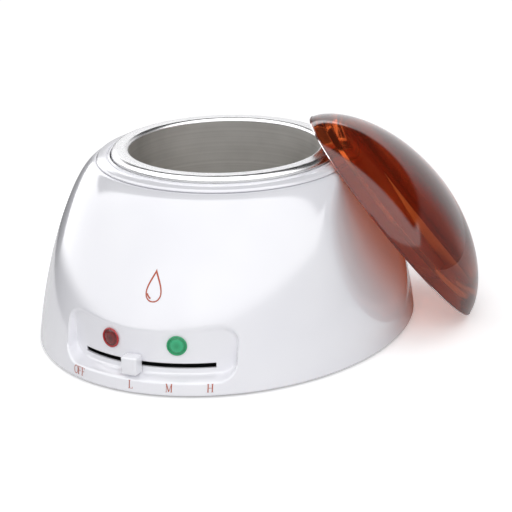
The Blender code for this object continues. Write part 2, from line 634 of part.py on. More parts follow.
# ------------------------------------------------------------------ thermostat and slider
def thermostat():
    """Thermostat clipped under the well, with its shaft pointing down at the lever."""
    neck, bore = 3.6 * MM, SHAFT_RADIUS + GAP
    half = 12.0 * MM
    body = place("thermostat_body", box_mesh("thermostat_body",
                 (-half, PIVOT.y - half, THERMOSTAT_UNDER), (half, PIVOT.y + half, THERMOSTAT_TOP), 1.0 * MM),
                 "black_phenolic")
    cut(body, round_cutter("shaft_bore", bore, THERMOSTAT_UNDER - MM, THERMOSTAT_UNDER + 6 * MM, 16, PIVOT))
    leg, plate = half + 1.2 * MM, 1.0 * MM
    bracket_mesh = box_mesh("thermostat_bracket", (-leg - plate, PIVOT.y - 6 * MM, BRACKET_UNDER),
                            (leg + plate, PIVOT.y + 6 * MM, THERMOSTAT_TOP))
    bracket = place("thermostat_bracket", bracket_mesh, "zinc_steel")
    inside = box_mesh("bracket_inside", (-leg, PIVOT.y - 8 * MM, BRACKET_UNDER + plate),
                      (leg, PIVOT.y + 8 * MM, THERMOSTAT_TOP + MM))
    cut(bracket, place("bracket_inside", inside))
    cut(bracket, round_cutter("neck_hole", neck + GAP, BRACKET_UNDER - MM, BRACKET_UNDER + 2 * MM, 20, PIVOT))
    neck_low = BRACKET_UNDER - 2.4 * MM
    profile = tube_profile(bore, neck, neck_low, THERMOSTAT_UNDER - GAP)
    neck_mesh = turned_mesh("thermostat_neck", profile, 20)
    place("thermostat_neck", neck_mesh, "brass", location=PIVOT)
    nut_top = BRACKET_UNDER - GAP
    nut = nut_mesh("thermostat_nut", neck + GAP, 6.4 * MM, nut_top - 1.8 * MM, nut_top)
    place("thermostat_nut", nut, "zinc_steel", location=PIVOT)


def slider(parent):
    """Shaft, lever, clip and knob: they turn together about the upright axis."""
    hub_low, hub_high = LEVER_Z - 1.3 * MM, LEVER_Z + 1.3 * MM
    shaft = rod_profile(SHAFT_RADIUS, LEVER_Z - 3.4 * MM, THERMOSTAT_UNDER + 5 * MM)
    place("thermostat_shaft", turned_mesh("thermostat_shaft", shaft, 16), "brass", parent)
    hub = turned_mesh("hub", tube_profile(SHAFT_RADIUS + GAP, 6.0 * MM, hub_low, hub_high), 24)
    lever = place("slider_lever", hub, "zinc_steel", parent)
    reach = PANEL_RADIUS + 5.6 * MM
    half = LEVER_WIDTH / 2
    arm_mesh = box_mesh("lever_arm", (-half, -reach, LEVER_Z - LEVER_THICK / 2),
                        (half, -4.6 * MM, LEVER_Z + LEVER_THICK / 2))
    arm = place("lever_arm", arm_mesh, parent=parent)
    join = lever.modifiers.new("lever_arm", "BOOLEAN")
    join.operation = "UNION"
    join.object = arm
    profile = tube_profile(SHAFT_RADIUS + GAP, 4.6 * MM, hub_low - GAP - MM, hub_low - GAP)
    place("lever_clip", turned_mesh("lever_clip", profile, 16), "zinc_steel", parent)
    near, far = PANEL_RADIUS + 0.5 * MM, PANEL_RADIUS + 0.5 * MM + KNOB_DEPTH
    middle = LEVER_Z + KNOB_UP
    knob_mesh = box_mesh("slider_knob", (-KNOB_WIDTH / 2, -far, middle - KNOB_HEIGHT / 2),
                         (KNOB_WIDTH / 2, -near, middle + KNOB_HEIGHT / 2), KNOB_ROUND)
    knob = place("slider_knob", knob_mesh, "white_plastic", parent)
    pocket = box_mesh("knob_pocket", (-half - GAP, -reach - GAP, LEVER_Z - LEVER_THICK / 2 - GAP),
                      (half + GAP, -near + MM, LEVER_Z + LEVER_THICK / 2 + GAP))
    cut(knob, place("knob_pocket", pocket, parent=parent))


# ------------------------------------------------------------------ indicators
def indicators():
    """Red and green lenses in the panel, each with a neon lamp in a holder behind it."""
    for side, word in ((-1, "red"), (1, "green")):
        origin, turn = lens_frame(side)
        face = 0.3 * MM
        lens_profile = [(0, -LENS_LENGTH), (LENS_BARREL, -LENS_LENGTH), (LENS_BARREL, face),
                        (LENS_RADIUS, face), (LENS_RADIUS, face + 0.6 * MM),
                        (LENS_RADIUS - 0.6 * MM, face + 1.1 * MM), (0, face + 1.4 * MM)]
        mesh = turned_mesh(f"{word}_lens", lens_profile, 18)
        place(f"{word}_lens", mesh, f"{word}_lens", location=origin, rotation=turn)
        back = -LENS_LENGTH - GAP
        holder = tube_profile(2.4 * MM + GAP, 3.8 * MM, back - 9 * MM, back)
        mesh = turned_mesh(f"{word}_lamp_holder", holder, 16)
        place(f"{word}_lamp_holder", mesh, "ceramic", location=origin, rotation=turn)
        lamp = [(0, back - 10 * MM), (2.0 * MM, back - 10 * MM), (2.4 * MM, back - 9 * MM),
                (2.4 * MM, back - 2.4 * MM), (1.5 * MM, back - 0.9 * MM), (0, back - 0.4 * MM)]
        mesh = turned_mesh(f"{word}_lamp", lamp, 12)
        place(f"{word}_lamp", mesh, "lamp_glass", location=origin, rotation=turn)


# ------------------------------------------------------------------ underside and mains side
def ellipse(half_width, half_depth, count):
    """Points round an ellipse."""
    angles = [2 * math.pi * i / count for i in range(count)]
    return [(half_width * math.cos(a), half_depth * math.sin(a)) for a in angles]


def base_plate():
    """Plate that closes the underside, with vents and a hole at each post."""
    inset = HOUSING_WALL + BASE_PLATE_ROOM
    outline = ellipse(BASE_HALF_WIDTH - inset, BASE_HALF_DEPTH - inset, 44)
    plate = place("base_plate", slab_mesh("base_plate", outline, PLATE_UNDER, PLATE_TOP), "grey_plastic")
    low, high = PLATE_UNDER - MM, PLATE_TOP + MM
    for number, (x, y) in enumerate(post_spots(), 1):
        cut(plate, round_cutter(f"plate_hole_{number}", SCREW_SHANK + GAP, low, high, 12, (x, y, 0)))
    for row in range(5):
        y = (row - 2) * VENT_PITCH + VENT_MIDDLE
        near, far = y - VENT_WIDTH / 2, y + VENT_WIDTH / 2
        vent = box_mesh(f"vent_{row + 1}", (-VENT_REACH, near, low), (VENT_REACH, far, high))
        cut(plate, place(f"vent_{row + 1}", vent))


def feet_and_screws():
    """A rubber foot under each post, held by the screw that goes up through it."""
    seat = FOOT_RISE - 1.6 * MM
    sink = SCREW_HEAD + 0.5 * MM
    foot_profile = [(sink, 0), (FOOT_RADIUS - 0.8 * MM, 0), (FOOT_RADIUS, 0.8 * MM), (FOOT_RADIUS, FOOT_RISE),
                    (SCREW_SHANK + GAP, FOOT_RISE), (SCREW_SHANK + GAP, seat), (sink, seat)]
    foot = turned_mesh("foot", foot_profile, 14)
    under = seat - GAP
    tip = PLATE_TOP + 10 * MM
    screw_profile = [(0, under - 1.6 * MM), (SCREW_HEAD - 0.6 * MM, under - 1.6 * MM),
                     (SCREW_HEAD, under - 0.9 * MM), (SCREW_HEAD, under), (SCREW_SHANK, under),
                     (SCREW_SHANK, tip), (0, tip)]
    screw = turned_mesh("base_screw", screw_profile, 10)
    for number, (x, y) in enumerate(post_spots(), 1):
        place(f"foot_{number}", foot.copy(), "rubber", location=(x, y, 0))
        place(f"base_screw_{number}", screw.copy(), "zinc_steel", location=(x, y, 0))


def mains_entry():
    """Gland in the back wall for the mains cord, and the nut that holds it."""
    face = GLAND_FACE + GAP
    barrel_end = face - 12 * MM
    profile = [(GLAND_BORE, barrel_end), (GLAND_BARREL, barrel_end), (GLAND_BARREL, face),
               (GLAND_FLANGE, face), (GLAND_FLANGE, face + 1.6 * MM),
               (GLAND_FLANGE - 1.2 * MM, face + 2.6 * MM),
               (GLAND_BORE + 0.8 * MM, face + 2.6 * MM), (GLAND_BORE, face + 1.8 * MM)]
    back = (math.radians(-90), 0, 0)
    place("cord_gland", turned_mesh("cord_gland", profile, 20), "white_plastic",
          location=(0, 0, GLAND_HEIGHT), rotation=back)
    nut_face = face - HOUSING_WALL - 4.5 * MM
    nut = nut_mesh("gland_nut", GLAND_BARREL + GAP, 8.6 * MM, nut_face - 3 * MM, nut_face)
    place("gland_nut", nut, "grey_plastic", location=(0, 0, GLAND_HEIGHT), rotation=back)


def terminal_block():
    """Ceramic block with three through holes for the leads."""
    low = TERMINAL + Vector((-TERMINAL_HALF_WIDTH, -TERMINAL_HALF_DEPTH, GAP))
    high = TERMINAL + Vector((TERMINAL_HALF_WIDTH, TERMINAL_HALF_DEPTH, GAP + TERMINAL_RISE))
    block = place("terminal_block", box_mesh("terminal_block", low, high, 0.8 * MM), "ceramic")
    along_y = (math.radians(-90), 0, 0)
    reach = TERMINAL_HALF_DEPTH + 2 * MM
    for number in (-1, 0, 1):
        spot = TERMINAL + Vector((number * TERMINAL_PITCH, 0, TERMINAL_RISE / 2))
        cut(block, round_cutter(f"terminal_hole_{number + 2}", 2.2 * MM, -reach, reach, 12, spot, along_y))


def thermal_fuse():
    """One-shot fuse under the well, in a spring clip."""
    along_x = (0, math.radians(90), 0)
    mesh = turned_mesh("thermal_fuse", rod_profile(FUSE_RADIUS, -6 * MM, 6 * MM), 12)
    place("thermal_fuse", mesh, "zinc_steel", location=FUSE_SPOT, rotation=along_x)
    top = WELL_UNDER - GAP - FUSE_SPOT.z
    inside, floor = FUSE_RADIUS + 2 * GAP, -FUSE_RADIUS - GAP
    outside, under = inside + FUSE_CLIP_SHEET, floor - FUSE_CLIP_SHEET
    outline = [(-outside, under), (outside, under), (outside, top), (inside, top),
               (inside, floor), (-inside, floor), (-inside, top), (-outside, top)]
    mesh = slab_mesh("fuse_clip", outline, -2.5 * MM, 2.5 * MM)
    upright = (math.radians(90), 0, math.radians(90))
    place("fuse_clip", mesh, "zinc_steel", location=FUSE_SPOT, rotation=upright)


def smooth_route(points, count):
    """Points evenly spread in parameter along a smooth curve through the route's own points."""
    ends = [points[0] * 2 - points[1], *points, points[-1] * 2 - points[-2]]
    route = []
    for i in range(count + 1):
        along = (len(points) - 1) * i / count
        k = min(int(along), len(points) - 2)
        t = along - k
        a, b, c, d = ends[k:k + 4]
        slope, bend, twist = c - a, 2 * a - 5 * b + 4 * c - d, 3 * b - a - 3 * c + d
        route.append(0.5 * (2 * b + slope * t + bend * t ** 2 + twist * t ** 3))
    return route


def lead(name, finish_name, points):
    """An insulated lead through points given as an anchor and millimetres from it."""
    points = [anchor + Vector(offset) * MM for anchor, *offset in points]
    route = smooth_route(points, 3 * (len(points) - 1))
    data = bpy.data.curves.new(name, "CURVE")
    data.dimensions = "3D"
    data.bevel_depth = LEAD_RADIUS
    data.bevel_resolution = 2
    data.use_fill_caps = True
    spline = data.splines.new("POLY")
    spline.points.add(len(route) - 1)
    for point, where in zip(spline.points, route):
        point.co = (*where, 1.0)
    data.materials.append(finish(finish_name))
    item = bpy.data.objects.new(name, data)
    bpy.context.scene.collection.objects.link(item)


def leads():
    """Five leads between the terminal block, thermostat, heater, fuse and lamps."""
    block, pivot, well = TERMINAL, PIVOT, UNDER_WELL
    lead("lead_feed", "lead_brown", [
        (block, -9, -9, 5.5), (block, -10, -16, 5.5), (block, -22, -36, 3.5), (pivot, -25, 44, 10),
        (pivot, -22, 24, 13), (pivot, -19, 9, 20), (pivot, -16.5, 1, 23)])
    lead("lead_heater", "lead_white", [
        (pivot, -14, -13, 23.5), (pivot, -24, -11, 22), (pivot, -40, 5, 22), (well, -60, -22, -2.4),
        (well, -68, -10, 9.6), (well, -66, 4, 21.6), (well, -65.5, 12, 25.6)])
    lead("lead_fuse", "lead_white", [
        (well, 32, 14, -4.2), (well, 38, 18, -7.4), (well, 50, 30, -8.4), (well, 52, 46, -0.4),
        (well, 36, 58, 11.6), (well, 20, 64.5, 19.6), (well, 8, 68.5, 27.6)])
    lead("lead_return", "lead_blue", [
        (block, 9, -9, 5.5), (block, 10, -16, 5.5), (block, 14, -28, 7.5), (block, 16, -38, 13.5),
        (well, 16.5, 17, -8.4), (well, 16.6, 14, -4.4)])
    lead("lead_lamps", "lead_blue", [
        (block, 0, -9, 5.5), (block, 0, -16, 5.5), (block, 26, -46, 3.5), (pivot, 36, 29, 10),
        (pivot, 38, 5, 14), (pivot, 30, -13, 21), (pivot, 19, -34, 24.5)])


def centre_on_table():
    """Move everything so that the origin is under the middle of the object's box."""
    bpy.context.view_layer.update()
    solid = [item for item in bpy.data.objects if item.type == "MESH" and not item.hide_render]
    spots = [item.matrix_world @ vert.co for item in solid for vert in item.data.vertices]
    across, along = [spot.x for spot in spots], [spot.y for spot in spots]
    middle = Vector((min(across) + max(across), min(along) + max(along), 0)) / 2
    for item in bpy.data.objects:
        if item.parent is None:
            item.location -= middle


def main():
    """Make every piece."""
    clear_scene()
    pot_home = bpy.data.objects.new("pot_lift", None)
    lid_home = bpy.data.objects.new("lid_lift", None)
    slider_home = bpy.data.objects.new("slider_turn", None)
    for home in (pot_home, lid_home, slider_home):
        bpy.context.scene.collection.objects.link(home)
    slider_home.location = PIVOT
    slider_home.rotation_euler = (0, 0, math.radians(SLIDER_REST_DEG))
    housing_shell()
    collar_ring()
    well_cup()
    well_screws()
    heater()
    thermostat()
    slider(slider_home)
    indicators()
    base_plate()
    feet_and_screws()
    mains_entry()
    terminal_block()
    thermal_fuse()
    leads()
    wax_pot(pot_home)
    lid(lid_home)
    centre_on_table()


main()
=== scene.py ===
# %% [markdown]
# # A wax warmer, piece by piece
# This lesson dresses a counter-top wax warmer: a glossy white moulded dome, a spun aluminium
# pot, a clear amber lid leaning on it, and a recessed panel with a sliding heat control.
# The exact frame of the object is loaded first. Every finer piece is built round it.

# %% Load the frame
import json
import math

import bmesh
import bpy
import numpy as np
from mathutils import Matrix, Vector


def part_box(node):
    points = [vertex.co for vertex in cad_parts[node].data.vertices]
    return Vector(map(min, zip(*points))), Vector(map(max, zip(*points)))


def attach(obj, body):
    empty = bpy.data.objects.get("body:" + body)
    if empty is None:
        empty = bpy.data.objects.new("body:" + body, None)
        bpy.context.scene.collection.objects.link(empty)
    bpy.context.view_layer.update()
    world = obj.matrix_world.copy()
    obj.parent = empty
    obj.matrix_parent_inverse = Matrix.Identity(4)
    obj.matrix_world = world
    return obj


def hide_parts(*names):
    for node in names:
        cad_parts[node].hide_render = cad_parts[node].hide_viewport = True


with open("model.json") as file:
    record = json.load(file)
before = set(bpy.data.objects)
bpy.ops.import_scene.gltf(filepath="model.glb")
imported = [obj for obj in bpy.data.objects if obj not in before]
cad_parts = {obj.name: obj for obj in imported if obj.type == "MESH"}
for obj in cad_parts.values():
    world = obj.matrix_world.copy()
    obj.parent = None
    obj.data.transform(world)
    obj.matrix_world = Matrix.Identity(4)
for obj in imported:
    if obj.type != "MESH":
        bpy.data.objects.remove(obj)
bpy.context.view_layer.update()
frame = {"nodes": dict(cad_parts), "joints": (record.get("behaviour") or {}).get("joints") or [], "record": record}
MM = 0.001
pot_low, pot_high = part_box("wax_pot")
AXIS = Vector(((pot_low.x + pot_high.x) / 2, (pot_low.y + pot_high.y) / 2, 0))
RIM_Z = pot_high.z / MM
print("pot axis", [round(v, 5) for v in AXIS], "rim height", round(RIM_Z, 2), "mm")

# %% [markdown]
# Two helpers come first. Colours are written as the sRGB hex a paint chart gives, and one
# function turns them into the linear values that a shader needs. The other adds a shader or
# geometry node, sets it up and wires it, so that each recipe below reads as a short list.

# %% Colour and node helpers
def linear(hexed):
    """Linear RGBA of an sRGB hex colour."""
    parts = [int(hexed[i:i + 2], 16) / 255 for i in (1, 3, 5)]
    return tuple(c / 12.92 if c <= 0.04045 else ((c + 0.055) / 1.055) ** 2.4 for c in parts) + (1.0,)


def add_node(tree, kind, settings=None, values=None, wires=None):
    """Add a node; settings are its properties, values its sockets, wires what feeds them."""
    made = tree.nodes.new(kind)
    for key, value in (settings or {}).items():
        setattr(made, key, value)
    for key, value in (values or {}).items():
        made.inputs[key].default_value = value
    for key, source in (wires or {}).items():
        tree.links.new(source, made.inputs[key])
    return made


def new_finish(name, values):
    """A material with a Principled shader, and its tree and shader to add detail to."""
    made = bpy.data.materials.new(name)
    made.use_nodes = True
    shader = made.node_tree.nodes["Principled BSDF"]
    for key, value in values.items():
        shader.inputs[key].default_value = value
    return made, made.node_tree, shader


def stops(node, marks):
    """Set a colour ramp to (position, colour) marks."""
    ramp = node.color_ramp
    while len(ramp.elements) > 1:
        ramp.elements.remove(ramp.elements[-1])
    ramp.elements[0].position, ramp.elements[0].color = marks[0]
    for position, colour in marks[1:]:
        ramp.elements.new(position).color = colour
    return node


def noise_on_object(tree, size_mm, detail=2.0, stretch=(1, 1, 1)):
    """Noise on the object's own coordinates, with grains of about this size."""
    where = add_node(tree, "ShaderNodeTexCoord")
    mapped = add_node(tree, "ShaderNodeMapping", {}, {"Scale": stretch}, {"Vector": where.outputs["Object"]})
    return add_node(tree, "ShaderNodeTexNoise", {}, {"Scale": 1000 / size_mm, "Detail": detail},
                    {"Vector": mapped.outputs["Vector"]})


print("helpers ready")

# %% [markdown]
# The housing is ABS, injection moulded in a polished tool. Its gloss is what the eye reads,
# so the roughness is low, with a faint waviness (sink marks are 10 to 20 mm across) that
# bends the reflections, and a barely visible drift of tone.

# %% Polished white ABS
white_abs, tree, shader = new_finish("polished_white_abs", {"IOR": 1.53, "Coat Weight": 0.6,
                                                            "Coat Roughness": 0.03,
                                                            "Specular IOR Level": 0.75})
tone = noise_on_object(tree, 30, 1.0)
tint = stops(add_node(tree, "ShaderNodeValToRGB", wires={"Fac": tone.outputs["Fac"]}),
             [(0.3, linear("#EDEDF2")), (0.7, linear("#F1F1F5"))])
tree.links.new(tint.outputs["Color"], shader.inputs["Base Color"])
fine = noise_on_object(tree, 1.2, 3.0)
gloss = add_node(tree, "ShaderNodeMapRange", values={"To Min": 0.10, "To Max": 0.17},
                 wires={"Value": fine.outputs["Fac"]})
tree.links.new(gloss.outputs["Result"], shader.inputs["Roughness"])
wave = noise_on_object(tree, 14, 0.0)
bump = add_node(tree, "ShaderNodeBump", values={"Strength": 0.05, "Distance": 0.0006},
                wires={"Height": wave.outputs["Fac"]})
tree.links.new(bump.outputs["Normal"], shader.inputs["Normal"])
print("made", white_abs.name)

# %% [markdown]
# The pot is aluminium sheet, spun over a former and bead-blasted inside. Spinning leaves fine
# rings round the axis, about 0.4 mm apart, drawn here at 1.2 mm so that they show. Each reads
# as a slight change of height and of roughness.

# %% Spun aluminium
def spun_metal(name, colour, rough_low, rough_high, ring_mm, depth_mm):
    """Aluminium with turning rings round the pot's axis."""
    made, tree, shader = new_finish(name, {"Metallic": 1.0})
    where = add_node(tree, "ShaderNodeTexCoord")
    centred = add_node(tree, "ShaderNodeMapping", {}, {"Location": (-AXIS.x, -AXIS.y, 0)},
                       {"Vector": where.outputs["Object"]})
    split = add_node(tree, "ShaderNodeSeparateXYZ", wires={"Vector": centred.outputs["Vector"]})
    flat = add_node(tree, "ShaderNodeCombineXYZ", wires={"X": split.outputs["X"], "Y": split.outputs["Y"]})
    radius = add_node(tree, "ShaderNodeVectorMath", {"operation": "LENGTH"},
                      wires={0: flat.outputs["Vector"]})
    path = add_node(tree, "ShaderNodeMath", {"operation": "ADD"}, wires={0: radius.outputs["Value"],
                                                                         1: split.outputs["Z"]})
    rings = add_node(tree, "ShaderNodeTexNoise", {"noise_dimensions": "1D"}, {"Scale": 1000 / ring_mm,
                                                                              "Detail": 2.0},
                     {"W": path.outputs["Value"]})
    cloud = noise_on_object(tree, 9, 3.0)
    both = add_node(tree, "ShaderNodeMix", {"data_type": "FLOAT"}, {"Factor": 0.35},
                    {"A": rings.outputs["Fac"], "B": cloud.outputs["Fac"]})
    tint = stops(add_node(tree, "ShaderNodeValToRGB", wires={"Fac": both.outputs["Result"]}),
                 [(0.25, linear(colour[0])), (0.75, linear(colour[1]))])
    tree.links.new(tint.outputs["Color"], shader.inputs["Base Color"])
    rough = add_node(tree, "ShaderNodeMapRange", values={"To Min": rough_low, "To Max": rough_high},
                     wires={"Value": both.outputs["Result"]})
    tree.links.new(rough.outputs["Result"], shader.inputs["Roughness"])
    bump = add_node(tree, "ShaderNodeBump", values={"Strength": 0.35, "Distance": depth_mm * MM},
                    wires={"Height": rings.outputs["Fac"]})
    tree.links.new(bump.outputs["Normal"], shader.inputs["Normal"])
    return made


pot_wall = spun_metal("spun_aluminium_blasted", ("#B9B7B3", "#CFCDC9"), 0.42, 0.58, 1.2, 0.05)
pot_rim = spun_metal("spun_aluminium_rolled_rim", ("#DCDCDC", "#EEEEEE"), 0.22, 0.34, 0.9, 0.03)
well_metal = spun_metal("drawn_aluminium_well", ("#A8A8AA", "#BDBDBF"), 0.30, 0.42, 1.5, 0.03)
print("made", pot_wall.name, pot_rim.name, well_metal.name)

# %% [markdown]
# The lid is polystyrene with a strong amber dye, moulded clear and glossy. Light that passes
# one wall of 2.4 mm turns orange, and light that passes two turns maroon, so high transmission
# with an orange base gives the whole range. A little body colour keeps the crown brown.

# %% Amber polystyrene
amber, tree, shader = new_finish("amber_dyed_polystyrene", {"IOR": 1.50, "Transmission Weight": 0.92,
                                                            "Specular IOR Level": 0.4})
haze = noise_on_object(tree, 40, 2.0)
tint = stops(add_node(tree, "ShaderNodeValToRGB", wires={"Fac": haze.outputs["Fac"]}),
             [(0.3, linear("#A8481F")), (0.7, linear("#B45226"))])
tree.links.new(tint.outputs["Color"], shader.inputs["Base Color"])
specks = noise_on_object(tree, 0.8, 2.0)
rough = add_node(tree, "ShaderNodeMapRange", values={"To Min": 0.03, "To Max": 0.06},
                 wires={"Value": specks.outputs["Fac"]})
tree.links.new(rough.outputs["Result"], shader.inputs["Roughness"])
flow = noise_on_object(tree, 22, 0.0)
bump = add_node(tree, "ShaderNodeBump", values={"Strength": 0.02, "Distance": 0.0006},
                wires={"Height": flow.outputs["Fac"]})
tree.links.new(bump.outputs["Normal"], shader.inputs["Normal"])
print("made", amber.name)

# %% [markdown]
# Each indicator is a tinted acrylic lens, grained on its back so that the lamp spreads. The
# grain is 0.5 mm. The colour paints shade in the valley and a highlight on the rim.

# %% Tinted acrylic lenses
def lens_finish(name, centre, dark, mid, rim_highlight):
    """Acrylic with a grained middle, painted shade in the valley and a painted highlight on the rim."""
    made, tree, shader = new_finish(name, {"IOR": 1.49, "Coat Weight": 0.5, "Roughness": 0.22})
    where = add_node(tree, "ShaderNodeTexCoord")
    offset = add_node(tree, "ShaderNodeVectorMath", {"operation": "DISTANCE"}, {1: centre},
                      {0: where.outputs["Object"]})
    grain = noise_on_object(tree, 0.5, 2.0)
    mixed = add_node(tree, "ShaderNodeMath", {"operation": "MULTIPLY_ADD"}, {1: 0.0022},
                     {0: grain.outputs["Fac"], 2: offset.outputs["Value"]})
    share = add_node(tree, "ShaderNodeMapRange", values={"From Min": 0.0, "From Max": 0.0063},
                     wires={"Value": mixed.outputs["Value"]})
    # Painted shade and highlight: the colour darkens again in the hairline valley and is brightest on the raised
    # rim.
    tint = stops(add_node(tree, "ShaderNodeValToRGB", wires={"Fac": share.outputs["Result"]}),
                 [(0.15, linear(dark)), (0.62, linear(mid)), (0.74, linear(dark)), (0.88, linear(rim_highlight))])
    tree.links.new(tint.outputs["Color"], shader.inputs["Base Color"])
    bump = add_node(tree, "ShaderNodeBump", values={"Strength": 0.4, "Distance": 0.0002},
                    wires={"Height": grain.outputs["Fac"]})
    tree.links.new(bump.outputs["Normal"], shader.inputs["Normal"])
    return made


# %% [markdown]
# The pieces that a hand seldom sees still have real finishes: zinc-plated steel with a soft
# crystal bloom, black phenolic, woven glass sleeve, rubber, steatite, brass and silicone.
# One recipe with different numbers does them, because they differ in tone, gloss and grain.

# %% Working finishes
def grained(name, light, dark, rough, grain_mm, bump_mm, metallic=0.0, stretch=(1, 1, 1)):
    """A surface that varies between two tones, with a grain of its own size."""
    made, tree, shader = new_finish(name, {"Metallic": metallic})
    grain = noise_on_object(tree, grain_mm, 4.0, stretch)
    tint = stops(add_node(tree, "ShaderNodeValToRGB", wires={"Fac": grain.outputs["Fac"]}),
                 [(0.3, linear(dark)), (0.7, linear(light))])
    tree.links.new(tint.outputs["Color"], shader.inputs["Base Color"])
    sheen = add_node(tree, "ShaderNodeMapRange", values={"To Min": rough - 0.07, "To Max": rough + 0.07},
                     wires={"Value": grain.outputs["Fac"]})
    tree.links.new(sheen.outputs["Result"], shader.inputs["Roughness"])
    bump = add_node(tree, "ShaderNodeBump", values={"Strength": 0.5, "Distance": bump_mm * MM},
                    wires={"Height": grain.outputs["Fac"]})
    tree.links.new(bump.outputs["Normal"], shader.inputs["Normal"])
    return made


WORKING = {
    "zinc_steel": grained("zinc_plated_steel", "#B8B8B4", "#9C9C9A", 0.36, 0.8, 0.02, 1.0),
    "heater_mica": grained("mica_heater_band", "#B59268", "#8C6C44", 0.55, 2.0, 0.05, 0.0, (1, 1, 4)),
    "glass_fibre": grained("woven_glass_sleeve", "#DCD8C8", "#C2BDAA", 0.90, 0.9, 0.20, 0.0, (1, 1, 3)),
    "black_phenolic": grained("black_phenolic", "#2B2B2B", "#1C1C1C", 0.48, 0.6, 0.02),
    "grey_plastic": grained("spark_textured_grey_abs", "#5A5A5D", "#4C4C4F", 0.55, 0.7, 0.05),
    "rubber": grained("moulded_rubber", "#2C2C2C", "#202020", 0.78, 0.5, 0.03),
    "lamp_glass": grained("neon_lamp_glass", "#E8C9A8", "#D9AF88", 0.12, 3.0, 0.01),
    "ceramic": grained("steatite_ceramic", "#ECE8DC", "#DDD8CA", 0.50, 0.6, 0.03),
    "brass": grained("turned_brass", "#D2AE62", "#B8934A", 0.32, 0.6, 0.02, 1.0, (1, 1, 5)),
    "lead_white": grained("silicone_white", "#E4E4E0", "#D2D2CE", 0.50, 1.0, 0.01),
    "lead_brown": grained("silicone_brown", "#6B4428", "#553420", 0.50, 1.0, 0.01),
    "lead_blue": grained("silicone_blue", "#2F62A8", "#244E8C", 0.50, 1.0, 0.01),
    "well_aluminium": well_metal,
    "white_plastic": white_abs,
}
print(len(WORKING), "working finishes")

# %% [markdown]
# A turned or moulded piece is drawn as a section first. Real corners are never sharp, so each
# corner of a section carries its own radius, and `rounded` swaps it for a short arc. `spin`
# then turns the section round the axis, closing it where it meets the axis.

# %% Sections and turning
def rounded(corners, steps=5, closed=False):
    """Replace each (radius, height, round) corner of a section with an arc of that round."""
    out = []
    count = len(corners)
    for i, (r, z, fillet) in enumerate(corners):
        here = Vector((r, z))
        if fillet <= 0 or (not closed and i in (0, count - 1)):
            out.append((r, z))
            continue
        before = (Vector(corners[i - 1][:2]) - here).normalized()
        after = (Vector(corners[(i + 1) % count][:2]) - here).normalized()
        half = before.angle(after) / 2
        reach = fillet / math.tan(half)
        start, end = here + before * reach, here + after * reach
        middle = here + (before + after).normalized() * (fillet / math.sin(half))
        for k in range(steps + 1):
            spoke = (start - middle).lerp(end - middle, k / steps)
            out.append(tuple(middle + spoke.normalized() * fillet))
    return out


def spin(section, segments):
    """Vertices and faces, in millimetres, of a section turned about Z."""
    verts, faces, rings = [], [], []
    for r, z in section:
        if r < 1e-6:
            rings.append([len(verts)])
            verts.append((0.0, 0.0, z))
            continue
        rings.append(list(range(len(verts), len(verts) + segments)))
        verts += [(r * math.cos(2 * math.pi * k / segments), r * math.sin(2 * math.pi * k / segments), z)
                  for k in range(segments)]
    pairs = list(zip(rings, rings[1:]))
    if len(rings[0]) > 1:
        pairs.append((rings[-1], rings[0]))
    for one, two in pairs:
        for k in range(segments):
            n = (k + 1) % segments
            corner = [one[k % len(one)], one[n % len(one)], two[n % len(two)], two[k % len(two)]]
            faces.append(tuple(dict.fromkeys(corner)))
    return verts, faces


def make_piece(name, verts, faces, finishes, body, stands_for=(), place=None, chooser=None,
               sharp=40):
    """Make a mesh from millimetres, put it in its place, and let it ride on its body."""
    mesh = bpy.data.meshes.new(name)
    mesh.from_pydata([tuple(c * MM for c in v) for v in verts], [], faces)
    shape = bmesh.new()
    shape.from_mesh(mesh)
    bmesh.ops.remove_doubles(shape, verts=shape.verts, dist=1e-7)
    bmesh.ops.recalc_face_normals(shape, faces=shape.faces)
    shape.to_mesh(mesh)
    shape.free()
    for finish in finishes:
        mesh.materials.append(finish)
    if chooser:
        for face in mesh.polygons:
            face.material_index = chooser(face.center / MM)
    mesh.transform(place if place is not None else Matrix.Translation(AXIS))
    mesh.shade_smooth()
    mesh.set_sharp_from_angle(angle=math.radians(sharp))
    item = bpy.data.objects.new(name, mesh)
    bpy.context.scene.collection.objects.link(item)
    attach(item, body)
    if stands_for:
        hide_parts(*stands_for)
    print(name, len(mesh.polygons), "faces")
    return item


# %% [markdown]
# The housing is one rule all over: an ellipse at each height that grows as the wall falls.
# Two long hollows are scooped from its sides for the fingers, the panel is pressed in at the
# front, and a flat is pressed in at the back for the cord gland. A grid of points follows the
# ellipse, and each point is then pulled to the hollow, panel or flat where that lies deeper.
# `soft_least` blends the two surfaces, which leaves the moulded radius along every crease.

# %% The dome's rule
SHOULDER_Z, SHOULDER_R, SKIRT_Z = 87.6, 65.8, 1.2
FOOT_HALF_WIDTH, FOOT_HALF_DEPTH = 93.5, 112.8
WALL = 2.6
PANEL_HALF, PANEL_LOW, PANEL_HIGH, PANEL_CORNER = 43.5, 9.0, 32.4, 7.0
PANEL_R, PIVOT_FORWARD = 66.5, 39.0
SLOT_LOW, SLOT_HIGH, SLOT_HALF = 12.6, 15.2, 34.2
GLAND_Z, GLAND_FLAT, GLAND_R = 17.0, 108.4, 8.3


def soft_least(a, b, blend):
    """The smaller of two values, rounded over where they are nearly the same."""
    share = np.clip(0.5 + 0.5 * (b - a) / blend, 0, 1)
    return b * (1 - share) + a * share - blend * share * (1 - share)


def half_sizes(z):
    """Half width and half depth of the dome at a height."""
    fall = np.clip((SHOULDER_Z - z) / (SHOULDER_Z - SKIRT_Z), 0, 1)
    level = (1 - fall) ** 0.65
    spread = np.sqrt(np.maximum(1 - level ** 2, 0)) ** (2 / 1.7)
    return (SHOULDER_R + (FOOT_HALF_WIDTH - SHOULDER_R) * spread,
            SHOULDER_R + (FOOT_HALF_DEPTH - SHOULDER_R) * spread)


